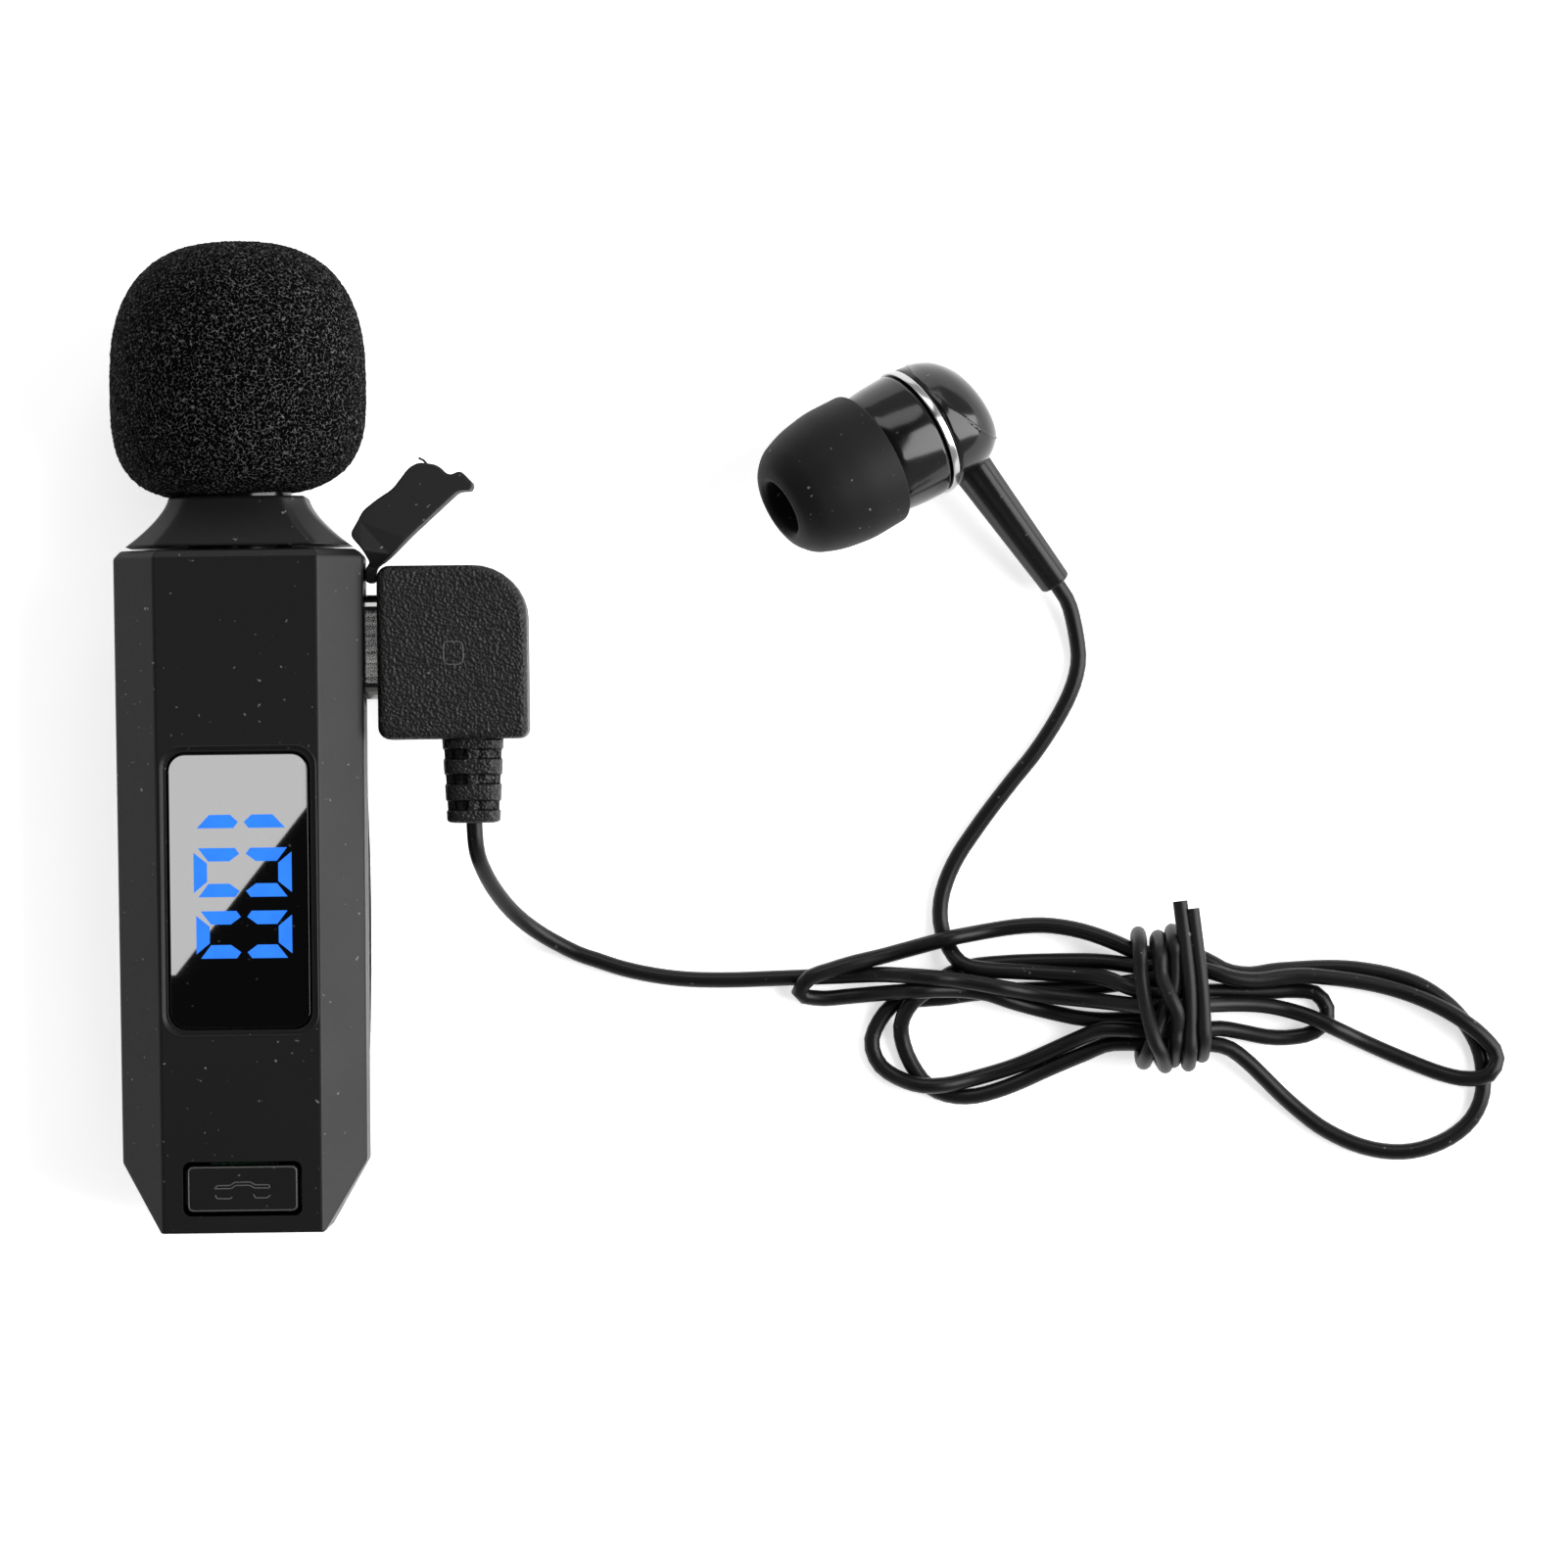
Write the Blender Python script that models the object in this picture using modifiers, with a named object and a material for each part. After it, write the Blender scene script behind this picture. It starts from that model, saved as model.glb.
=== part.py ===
"""Lavalier microphone with a display, a back clip, and a side lead to a monitoring earphone.

Metres, +Z up. The body lies on its back clip: the clip's flat underside is Z = 0, the body runs
along Y with the microphone head at +Y, and X = 0 is the body's middle.
"""
import math

import bmesh
import bpy
from mathutils import Matrix, Vector

MM = 0.001

# Clearances
GAP = 0.3 * MM                 # between stacked pieces
FIT = 0.15 * MM                # each side of a piece that slides or seats in another
PLUG_FIT = 0.07 * MM           # each side of the plug in its receptacle

# Body
BODY_LENGTH = 54.0 * MM
SHOULDER_WIDTH = 19.8 * MM
FOOT_WIDTH = 19.4 * MM
BODY_DEPTH = 12.0 * MM
FACE_CHAMFER = 3.4 * MM        # how far the sloped facets beside the faces come down the sides
FACE_RIM = 0.1 * MM            # flat face left beside the display's bezel, at the foot
FOOT_CUT_UP = 5.5 * MM
SHOULDER_CUT = 0.6 * MM
WALL = 1.2 * MM
EDGE_ROUND = 0.3 * MM

# Head
HEAD_TUBE_RADIUS = 4.2 * MM
HEAD_TUBE_BORE = 3.4 * MM
HEAD_TUBE_TOP = 16.2 * MM      # above the collar
COLLAR_HEIGHT = 3.9 * MM
COLLAR_SIDE_RIM = 1.2 * MM     # collar's top beyond the head tube, at each side
COLLAR_FACE_RIM = 0.9 * MM     # and at the front and the back
COLLAR_TOP_WIDTH = 2 * (HEAD_TUBE_RADIUS + COLLAR_SIDE_RIM)
COLLAR_FOOT_WIDTH = 17.8 * MM
COLLAR_TOP_DEPTH = 2 * (HEAD_TUBE_RADIUS + COLLAR_FACE_RIM)
COLLAR_TOP_FACE = 7.8 * MM     # width of the collar's front facet
CAPSULE_RADIUS = 2.8 * MM
CAPSULE_HEIGHT = 2.7 * MM
GRILLE_THICKNESS = 0.8 * MM
FOAM_WIDTH = 20.4 * MM
FOAM_HEIGHT = 20.1 * MM
FOAM_CORNER = 2.7              # superellipse power of the foam's side view
FOAM_TOP_COVER = 2.8 * MM      # foam over the end of the head

# Display and electronics
WINDOW_WIDTH = 11.1 * MM
WINDOW_HEIGHT = 21.7 * MM
WINDOW_THICKNESS = 0.8 * MM
WINDOW_SINK = 0.35 * MM
BEZEL_BORDER = 0.65 * MM
BEZEL_SINK = 0.2 * MM
MODULE_THICKNESS = 1.6 * MM
BOARD_WIDTH = 14.4 * MM
BOARD_THICKNESS = 0.8 * MM
BATTERY_SIZE = (12.0 * MM, 27.0 * MM, 3.2 * MM)

# Button
BUTTON_WIDTH = 8.8 * MM
BUTTON_HEIGHT = 3.7 * MM
BUTTON_UP = 3.5 * MM           # middle of the button above the foot end
BUTTON_TRAVEL = 0.4 * MM
BUTTON_FLANGE = 0.5 * MM
BUTTON_GAP = 0.3 * MM

# Back clip
CLIP_HEIGHT = 4.4 * MM
CLIP_WIDTH = 19.2 * MM         # at the middle, where the sides bow out
CLIP_END_WIDTH = 17.8 * MM
CLIP_CORNER = 2.5 * MM
CLIP_PLATE = 0.8 * MM
CLIP_JAW_LENGTH = 36.0 * MM    # from the pin to the jaw's end
CLIP_TAIL_LENGTH = 8.0 * MM
CLIP_PIN_RADIUS = 0.6 * MM
CLIP_PIN_UP = 12.0 * MM        # pin above the body's middle
CLIP_EAR = 1.0 * MM
CLIP_BRACKET_WIDTH = 11.0 * MM
SPRING_WIRE = 0.4 * MM

# Side port and plug
PORT_BELOW_SHOULDER = 3.26 * MM    # from the shoulder to the port's upper end
PLUG_WIDTH = 8.34 * MM
PLUG_THICKNESS = 2.56 * MM
PLUG_WALL = 0.3 * MM
PLUG_DEPTH = 6.0 * MM          # shell inside the body's side
PLUG_STANDOFF = 1.1 * MM       # bare shell between body and grip
GRIP_LENGTH = 13.8 * MM        # along Y
GRIP_OVER_PORT = 1.86 * MM     # grip's top above the port's upper end
GRIP_WIDTH = 11.9 * MM         # along X
GRIP_THICKNESS = 6.4 * MM
GRIP_BIG_CORNER = 4.3 * MM
GRIP_CORNER = 1.0 * MM
RELIEF_LENGTH = 6.9 * MM
RELIEF_TOP_RADIUS = 2.4 * MM
RELIEF_END_RADIUS = 2.0 * MM
RELIEF_GROOVE = 0.5 * MM
CORD_DIAMETER = 1.3 * MM

# Dust cover
COVER_THICKNESS_Z = 4.8 * MM
ANCHOR_CLEAR = 0.1 * MM        # from the anchor to the facets inside the shell

# Earphone
EAR_RADIUS = 5.4 * MM
EAR_AT = Vector((54.2, 36.0, 5.9)) * MM
EAR_TURN = math.radians(29)    # the axis in plan
EAR_RAISE = math.radians(20)
DRIVER_RADIUS = 4.0 * MM
NOZZLE_RADIUS = 2.1 * MM
TIP_RADIUS = 5.7 * MM
TIP_WALL = 0.55 * MM

# Tied cord
HANK_HEIGHT = 5.0 * MM
TIE_THICKNESS = 1.2 * MM
TIE_X = (70.9 * MM, 77.0 * MM)
TIE_MIDDLE_Y = -9.8 * MM
TIE_HALF_WIDTH = 5.9 * MM
TIE_HEIGHT = 6.0 * MM

# Places that follow from the sizes
BACK_Z = CLIP_HEIGHT
FRONT_Z = BACK_Z + BODY_DEPTH
AXIS_Z = BACK_Z + BODY_DEPTH / 2
SHOULDER_Y = BODY_LENGTH / 2
FOOT_Y = -BODY_LENGTH / 2
COLLAR_TOP_Y = SHOULDER_Y + GAP + COLLAR_HEIGHT
HEAD_TOP_Y = COLLAR_TOP_Y + HEAD_TUBE_TOP
INNER_FRONT_Z = FRONT_Z - WALL
INNER_BACK_Z = BACK_Z + WALL
PORT_WIDTH = PLUG_WIDTH + 2 * (PLUG_FIT + PLUG_WALL)
PORT_UP = SHOULDER_Y - PORT_BELOW_SHOULDER - PORT_WIDTH / 2
FOOT_FACE_HALF = WINDOW_WIDTH / 2 + BEZEL_BORDER + FACE_RIM
SHOULDER_FACE_HALF = FOOT_FACE_HALF + (SHOULDER_WIDTH - FOOT_WIDTH) / 2
SIDE_X = (SHOULDER_WIDTH - (SHOULDER_WIDTH - FOOT_WIDTH) * (SHOULDER_Y - PORT_UP) / BODY_LENGTH) / 2
WINDOW_TOP_Z = FRONT_Z - WINDOW_SINK
MODULE_TOP_Z = min(WINDOW_TOP_Z - WINDOW_THICKNESS, INNER_FRONT_Z) - GAP
BOARD_TOP_Z = MODULE_TOP_Z - MODULE_THICKNESS - GAP
PORT_THICKNESS = PLUG_THICKNESS + 2 * (PLUG_FIT + PLUG_WALL)
PORT_Z = BOARD_TOP_Z - BOARD_THICKNESS - FIT - PORT_THICKNESS / 2
BUTTON_Y = FOOT_Y + BUTTON_UP


# ---------------------------------------------------------------- making shapes

for old in list(bpy.data.objects):
    bpy.data.objects.remove(old, do_unlink=True)
parts = bpy.data.collections.new("lavalier_microphone")
cutters = bpy.data.collections.new("cutters")
cutters.hide_render = True
for collection in (parts, cutters):
    bpy.context.scene.collection.children.link(collection)


def material(name, color, roughness, metallic=0.0):
    made = bpy.data.materials.new(name)
    made.use_nodes = True
    shader = made.node_tree.nodes["Principled BSDF"]
    shader.inputs["Base Color"].default_value = (*color, 1.0)
    shader.inputs["Roughness"].default_value = roughness
    shader.inputs["Metallic"].default_value = metallic
    return made


def add(name, mesh, finish=None):
    """A new object: a part when it has a finish, otherwise a cutter."""
    obj = bpy.data.objects.new(name, mesh)
    if finish:
        parts.objects.link(obj)
        obj.data.materials.append(finish)
        mesh.shade_smooth()
        mesh.set_sharp_from_angle(angle=math.radians(35))
    else:
        cutters.objects.link(obj)
        obj.hide_render = True
        obj.display_type = "WIRE"
    return obj


def box(name, low, high, finish=None):
    shape = bmesh.new()
    bmesh.ops.create_cube(shape, size=1.0)
    low, high = Vector(low), Vector(high)
    bmesh.ops.scale(shape, vec=high - low, verts=shape.verts)
    bmesh.ops.translate(shape, vec=(low + high) / 2, verts=shape.verts)
    mesh = bpy.data.meshes.new(name)
    shape.to_mesh(mesh)
    shape.free()
    return add(name, mesh, finish)


def loft(name, rings, finish=None):
    """Joins rings of equally many points and caps both ends."""
    shape = bmesh.new()
    loops = [[shape.verts.new(point) for point in ring] for ring in rings]
    count = len(rings[0])
    for lower, upper in zip(loops, loops[1:]):
        for i in range(count):
            shape.faces.new((lower[i], lower[(i + 1) % count], upper[(i + 1) % count], upper[i]))
    shape.faces.new(reversed(loops[0]))
    shape.faces.new(loops[-1])
    bmesh.ops.recalc_face_normals(shape, faces=shape.faces)
    mesh = bpy.data.meshes.new(name)
    shape.to_mesh(mesh)
    shape.free()
    return add(name, mesh, finish)


def plate(name, outline, low, high, finish=None, place=None):
    """A flat outline between two heights along local Z, welded into a mesh."""
    curve = bpy.data.curves.new(name, "CURVE")
    curve.dimensions = "2D"
    curve.fill_mode = "BOTH"
    curve.extrude = (high - low) / 2
    line = curve.splines.new("POLY")
    line.points.add(len(outline) - 1)
    for point, (x, y) in zip(line.points, outline):
        point.co = (x, y, 0, 1)
    line.use_cyclic_u = True
    guide = bpy.data.objects.new(name + "_guide", curve)
    cutters.objects.link(guide)
    bpy.context.view_layer.update()
    mesh = bpy.data.meshes.new_from_object(guide.evaluated_get(bpy.context.evaluated_depsgraph_get()))
    bpy.data.objects.remove(guide, do_unlink=True)
    shape = bmesh.new()
    shape.from_mesh(mesh)
    bmesh.ops.remove_doubles(shape, verts=shape.verts, dist=1e-6)
    bmesh.ops.translate(shape, vec=(0, 0, (low + high) / 2), verts=shape.verts)
    if place:
        bmesh.ops.transform(shape, matrix=place, verts=shape.verts)
    bmesh.ops.recalc_face_normals(shape, faces=shape.faces)
    shape.to_mesh(mesh)
    shape.free()
    mesh.name = name
    mesh.materials.clear()
    return add(name, mesh, finish)


def turned(name, profile, place, finish=None, steps=28, closed=False):
    """A turned shape: (radius, height) points down the outer side, and up the bore if closed."""
    mesh = bpy.data.meshes.new(name)
    count = len(profile)
    edges = [(i, i + 1) for i in range(count - 1)] + ([(count - 1, 0)] if closed else [])
    mesh.from_pydata([(radius, 0, height) for radius, height in profile], edges, [])
    obj = add(name, mesh, finish)
    screw = obj.modifiers.new("turn", "SCREW")
    screw.axis = "Z"
    screw.steps = screw.render_steps = steps
    screw.use_merge_vertices = True
    screw.merge_threshold = 1e-6
    screw.use_smooth_shade = True
    obj.matrix_world = place
    return obj


def tube(name, points, radius, finish):
    curve = bpy.data.curves.new(name, "CURVE")
    curve.dimensions = "3D"
    curve.bevel_depth = radius
    curve.bevel_resolution = 2
    curve.use_fill_caps = True
    line = curve.splines.new("POLY")
    line.points.add(len(points) - 1)
    for point, place in zip(line.points, points):
        point.co = (*place, 1)
    obj = bpy.data.objects.new(name, curve)
    parts.objects.link(obj)
    curve.materials.append(finish)
    return obj


def boolean(obj, other, operation="DIFFERENCE"):
    change = obj.modifiers.new(other.name, "BOOLEAN")
    change.operation = operation
    change.solver = "EXACT"
    change.object = other
    return obj


def bevel(obj, width, segments=2, angle=30):
    edge = obj.modifiers.new("bevel", "BEVEL")
    edge.width = width
    edge.segments = segments
    edge.limit_method = "ANGLE"
    edge.angle_limit = math.radians(angle)
    return obj


def rounded(width, height, radii, middle=(0, 0), steps=4):
    """Outline of a rectangle; radii run from the upper right corner, counter-clockwise."""
    outline = []
    corners = ((1, 1), (-1, 1), (-1, -1), (1, -1))
    for quarter, ((sx, sy), radius) in enumerate(zip(corners, radii)):
        for step in range(steps + 1):
            angle = math.pi / 2 * (quarter + step / steps)
            x = sx * (width / 2 - radius) + radius * math.cos(angle)
            y = sy * (height / 2 - radius) + radius * math.sin(angle)
            outline.append((middle[0] + x, middle[1] + y))
    return outline


def stadium(width, height, steps=6):
    """Outline with two half-round ends, long along the first axis."""
    radius = height / 2 - 1e-6
    return rounded(width, height, (radius,) * 4, steps=steps)


def smooth(points, spacing, cyclic=False):
    """Points about `spacing` apart on the Catmull-Rom curve through the given ones."""
    points = [Vector(p) for p in points]
    if cyclic:
        points = [points[-1]] + points + points[:2]
    else:
        points = [2 * points[0] - points[1]] + points + [2 * points[-1] - points[-2]]
    fine = []
    for a, b, c, d in zip(points, points[1:], points[2:], points[3:]):
        for step in range(16):
            t = step / 16
            fine.append(0.5 * (2 * b + (c - a) * t + (2 * a - 5 * b + 4 * c - d) * t ** 2
                               + (3 * b - a - 3 * c + d) * t ** 3))
    fine.append(points[-2])
    lengths = [0.0]
    for a, b in zip(fine, fine[1:]):
        lengths.append(lengths[-1] + (b - a).length)
    count = max(2, round(lengths[-1] / spacing))
    chosen, index = [], 0
    for step in range(count + (0 if cyclic else 1)):
        want = lengths[-1] * step / count
        while index < len(lengths) - 2 and lengths[index + 1] < want:
            index += 1
        share = (want - lengths[index]) / max(lengths[index + 1] - lengths[index], 1e-12)
        chosen.append(fine[index].lerp(fine[index + 1], min(share, 1.0)))
    return chosen


def along_y(y=0.0, z=AXIS_Z):
    """Placement of a turned piece whose local Z runs up the body."""
    return Matrix.Translation((0, y, z)) @ Matrix.Rotation(math.radians(-90), 4, "X")


def along_x(x=0.0, y=PORT_UP, z=PORT_Z):
    """Placement of an outline whose local X is +Y, local Y is +Z and local Z is +X."""
    turn = Matrix(((0, 0, 1, 0), (1, 0, 0, 0), (0, 1, 0, 0), (0, 0, 0, 1)))
    return Matrix.Translation((x, y, z)) @ turn


black_plastic = material("black_plastic", (0.018, 0.018, 0.019), 0.5)
black_gloss = material("black_gloss", (0.01, 0.01, 0.011), 0.12)
black_rubber = material("black_rubber", (0.014, 0.014, 0.014), 0.65)
steel = material("steel", (0.6, 0.6, 0.6), 0.25, 1.0)
foam = material("foam", (0.02, 0.02, 0.02), 0.95)
glass = material("display_glass", (0.01, 0.01, 0.012), 0.08)
board_green = material("board", (0.02, 0.1, 0.05), 0.5)
gold = material("gold", (0.8, 0.6, 0.25), 0.3, 1.0)
cell_wrap = material("cell_wrap", (0.5, 0.5, 0.52), 0.35, 0.6)
ceramic = material("ceramic", (0.75, 0.72, 0.66), 0.5)
copper = material("copper", (0.7, 0.35, 0.2), 0.35, 1.0)


# ---------------------------------------------------------------- body shells

FACET_TAKE = 2 - math.sqrt(2)  # what a facet loses for each unit that the section is taken in
FOOT_EDGE = 0.15 * MM


def section(y, half_width, half_depth, face_half, drop):
    """Eight-sided section across the body; the facets beside the faces come down by `drop`."""
    side = half_depth - drop
    corners = [(face_half, half_depth), (half_width, side), (half_width, -side), (face_half, -half_depth)]
    corners += [(-x, z) for x, z in reversed(corners)]
    return [(x, y, AXIS_Z + z) for x, z in corners]


def body_rings(inset):
    """Sections of the body from foot to shoulder, taken in by `inset` all round."""
    half_depth = BODY_DEPTH / 2 - inset
    foot_half = FOOT_WIDTH / 2 - inset
    shoulder_half = SHOULDER_WIDTH / 2 - inset
    facet = FACE_CHAMFER - inset * FACET_TAKE
    foot_face = FOOT_FACE_HALF - inset * (1 - FACET_TAKE)
    shoulder_face = SHOULDER_FACE_HALF - inset * (1 - FACET_TAKE)
    cut_y = FOOT_Y + FOOT_CUT_UP
    shoulder_cut = SHOULDER_CUT if inset == 0 else 0
    rings = [
        section(FOOT_Y + inset, foot_face + FOOT_EDGE, half_depth, foot_face, FOOT_EDGE),
        section(cut_y, foot_half, half_depth, foot_face, facet),
        section(SHOULDER_Y - inset - shoulder_cut, shoulder_half, half_depth, shoulder_face, facet),
    ]
    if shoulder_cut:
        rings.append(section(SHOULDER_Y, shoulder_half - shoulder_cut, half_depth - shoulder_cut / 2,
                             shoulder_face - shoulder_cut / 2, facet - shoulder_cut / 2))
    return rings


far = 2 * BODY_LENGTH
inside = loft("inside_cut", body_rings(WALL))
above_seam = box("above_seam_cut", (-far, -far, AXIS_Z - GAP / 2), (far, far, far))
below_seam = box("below_seam_cut", (-far, -far, -far), (far, far, AXIS_Z + GAP / 2))

FLANGE_BORDER = 0.4 * MM
FLANGE_THICKNESS = 0.8 * MM
flange_radius = HEAD_TUBE_RADIUS + FLANGE_BORDER
flange_top = SHOULDER_Y - WALL - GAP
flange_foot = flange_top - FLANGE_THICKNESS
head_hole = turned("head_hole_cut", [
    (0, SHOULDER_Y + WALL), (HEAD_TUBE_RADIUS + FIT, SHOULDER_Y + WALL),
    (HEAD_TUBE_RADIUS + FIT, SHOULDER_Y - WALL), (flange_radius + FIT, SHOULDER_Y - WALL),
    (flange_radius + FIT, flange_foot - GAP), (0, flange_foot - GAP)], along_y())
port_hole = plate("port_hole_cut", stadium(PORT_WIDTH + 2 * FIT, PORT_THICKNESS + 2 * FIT),
                  SIDE_X - WALL - FACE_CHAMFER, SIDE_X + WALL, place=along_x())
anchor_y = PORT_UP + PORT_WIDTH / 2 + 1.45 * MM
anchor_hole = box("anchor_hole_cut", (SIDE_X - 2 * WALL, anchor_y - 0.7 * MM, AXIS_Z - 1.2 * MM),
                  (SIDE_X + WALL, anchor_y + 0.7 * MM, AXIS_Z + 1.2 * MM))

window_hole = plate("window_hole_cut",
                    rounded(WINDOW_WIDTH + 2 * FIT, WINDOW_HEIGHT + 2 * FIT, (1.4 * MM,) * 4),
                    INNER_FRONT_Z - WALL, FRONT_Z + WALL)
bezel_step = plate("bezel_step_cut",
                   rounded(WINDOW_WIDTH + 2 * BEZEL_BORDER, WINDOW_HEIGHT + 2 * BEZEL_BORDER, (1.9 * MM,) * 4),
                   FRONT_Z - BEZEL_SINK, FRONT_Z + WALL)
button_hole = plate("button_hole_cut",
                    rounded(BUTTON_WIDTH + 2 * BUTTON_GAP, BUTTON_HEIGHT + 2 * BUTTON_GAP, (0.6 * MM,) * 4,
                            (0, BUTTON_Y)),
                    INNER_FRONT_Z - WALL / 2, FRONT_Z + WALL)

BOSS_RADIUS = 1.6 * MM
SCREW_RADIUS = 0.6 * MM
SCREW_HEAD_RADIUS = 1.2 * MM
SCREW_HEAD = 0.7 * MM
SCREW_X = FOOT_WIDTH / 2 - FACE_CHAMFER - BOSS_RADIUS
SCREW_Y = BUTTON_Y + BUTTON_HEIGHT / 2 + BUTTON_GAP + BOSS_RADIUS + 0.3 * MM
screw_places = {"left": (-SCREW_X, SCREW_Y, 0), "right": (SCREW_X, SCREW_Y, 0)}

front_shell = bevel(loft("front_shell", body_rings(0), black_plastic), EDGE_ROUND)
rear_shell = bevel(loft("rear_shell", body_rings(0), black_plastic), EDGE_ROUND)
for shell in (front_shell, rear_shell):
    boolean(shell, inside)
boolean(front_shell, below_seam)
boolean(rear_shell, above_seam)
for side, place in screw_places.items():
    at = Matrix.Translation(place)
    boss = turned(f"boss_{side}_join", [(0, FRONT_Z - WALL / 2), (BOSS_RADIUS, FRONT_Z - WALL / 2),
                                        (BOSS_RADIUS, AXIS_Z + GAP), (0, AXIS_Z + GAP)], at, steps=16)
    boolean(front_shell, boss, "UNION")
    post = turned(f"post_{side}_join", [(0, AXIS_Z - GAP), (BOSS_RADIUS, AXIS_Z - GAP),
                                        (BOSS_RADIUS, BACK_Z + WALL / 2), (0, BACK_Z + WALL / 2)], at, steps=16)
    boolean(rear_shell, post, "UNION")
    hole = turned(f"screw_{side}_cut", [
        (0, INNER_FRONT_Z - GAP), (SCREW_RADIUS + FIT, INNER_FRONT_Z - GAP),
        (SCREW_RADIUS + FIT, BACK_Z + SCREW_HEAD + GAP), (SCREW_HEAD_RADIUS + FIT, BACK_Z + SCREW_HEAD + GAP),
        (SCREW_HEAD_RADIUS + FIT, BACK_Z - WALL), (0, BACK_Z - WALL)], at, steps=16)
    boolean(front_shell, hole)
    boolean(rear_shell, hole)
    screw = turned(f"shell_screw_{side}", [
        (0, INNER_FRONT_Z - 2 * GAP), (SCREW_RADIUS, INNER_FRONT_Z - 2 * GAP),
        (SCREW_RADIUS, BACK_Z + SCREW_HEAD), (SCREW_HEAD_RADIUS, BACK_Z + SCREW_HEAD),
        (SCREW_HEAD_RADIUS, BACK_Z), (0, BACK_Z)], at, steel, steps=16)
for shell in (front_shell, rear_shell):
    boolean(shell, head_hole)
    boolean(shell, port_hole)
    boolean(shell, anchor_hole)
boolean(front_shell, window_hole)
boolean(front_shell, bezel_step)
boolean(front_shell, button_hole)


# ---------------------------------------------------------------- head

def collar_section(share):
    """Section of the collar; share is 0 at its top and 1 at its foot."""
    spread = share ** 1.2
    half_width = (COLLAR_TOP_WIDTH + (COLLAR_FOOT_WIDTH - COLLAR_TOP_WIDTH) * spread) / 2
    half_depth = (COLLAR_TOP_DEPTH + (BODY_DEPTH - SHOULDER_CUT - COLLAR_TOP_DEPTH) * spread) / 2
    face_half = COLLAR_TOP_FACE / 2 + (SHOULDER_FACE_HALF - COLLAR_TOP_FACE / 2) * spread
    return section(COLLAR_TOP_Y - COLLAR_HEIGHT * share, half_width, half_depth, face_half,
                   half_width - face_half)


collar_hole = turned("collar_hole_cut", [
    (0, COLLAR_TOP_Y + WALL), (HEAD_TUBE_RADIUS + FIT, COLLAR_TOP_Y + WALL),
    (HEAD_TUBE_RADIUS + FIT, SHOULDER_Y - WALL), (0, SHOULDER_Y - WALL)], along_y(), steps=32)
head_collar = boolean(loft("head_collar", [collar_section(i / 6) for i in range(7)], black_plastic), collar_hole)

capsule_floor = HEAD_TOP_Y - GAP - CAPSULE_HEIGHT - 1.5 * MM
turned("mic_head_tube", [
    (HEAD_TUBE_BORE, HEAD_TOP_Y), (HEAD_TUBE_RADIUS, HEAD_TOP_Y), (HEAD_TUBE_RADIUS, flange_top),
    (flange_radius, flange_top), (flange_radius, flange_foot),
    (1.0 * MM, flange_foot), (1.0 * MM, capsule_floor), (HEAD_TUBE_BORE, capsule_floor)],
    along_y(), black_gloss, steps=32, closed=True)
grille = turned("mic_head_grille", [
    (0, HEAD_TOP_Y + GAP + GRILLE_THICKNESS), (HEAD_TUBE_RADIUS, HEAD_TOP_Y + GAP + GRILLE_THICKNESS),
    (HEAD_TUBE_RADIUS, HEAD_TOP_Y + GAP), (0, HEAD_TOP_Y + GAP)], along_y(), steel, steps=32)
for i in range(7):
    ring_radius = HEAD_TUBE_BORE * 0.6 if i else 0
    angle = math.tau * i / 6
    vent = turned(f"vent_{i}_cut", [(0, WALL), (0.5 * MM, WALL), (0.5 * MM, -WALL), (0, -WALL)],
                  Matrix.Translation((ring_radius * math.cos(angle), 0, ring_radius * math.sin(angle)))
                  @ along_y(HEAD_TOP_Y + GAP), steps=8)
    boolean(grille, vent)
boot_radius = HEAD_TUBE_BORE - FIT
turned("capsule_boot", [
    (CAPSULE_RADIUS + FIT, HEAD_TOP_Y - GAP), (boot_radius, HEAD_TOP_Y - GAP),
    (boot_radius, capsule_floor + GAP), (1.0 * MM, capsule_floor + GAP),
    (1.0 * MM, capsule_floor + 0.8 * MM), (CAPSULE_RADIUS + FIT, capsule_floor + 0.8 * MM)],
    along_y(), black_rubber, steps=24, closed=True)
turned("mic_capsule", [
    (0, HEAD_TOP_Y - GAP), (CAPSULE_RADIUS, HEAD_TOP_Y - GAP),
    (CAPSULE_RADIUS, HEAD_TOP_Y - GAP - CAPSULE_HEIGHT), (0, HEAD_TOP_Y - GAP - CAPSULE_HEIGHT)],
    along_y(), cell_wrap, steps=24)

foam_bore = HEAD_TUBE_RADIUS + GAP
foam_bore_top = HEAD_TOP_Y + 2 * GAP + GRILLE_THICKNESS
foam_foot = foam_bore_top + FOAM_TOP_COVER - FOAM_HEIGHT
foot_angle = math.acos(((foam_bore + GAP) / (FOAM_WIDTH / 2)) ** (FOAM_CORNER / 2))
foot_share = math.sin(foot_angle) ** (2 / FOAM_CORNER)
foam_profile = []
for i in range(15):
    angle = math.pi / 2 - (math.pi / 2 + foot_angle) * i / 14
    height = abs(math.sin(angle)) ** (2 / FOAM_CORNER)
    height = height if angle > 0 else -height / foot_share
    radius = max(math.cos(angle), 0) ** (2 / FOAM_CORNER)
    foam_profile.append((radius * FOAM_WIDTH / 2, foam_foot + FOAM_HEIGHT / 2 * (1 + height)))
foam_profile[0] = (0, foam_foot + FOAM_HEIGHT)
foam_profile += [(foam_bore, foam_foot), (foam_bore, foam_bore_top), (0, foam_bore_top)]
turned("foam_windscreen", foam_profile, along_y(), foam, steps=30)


# ---------------------------------------------------------------- display, button and electronics

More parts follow.
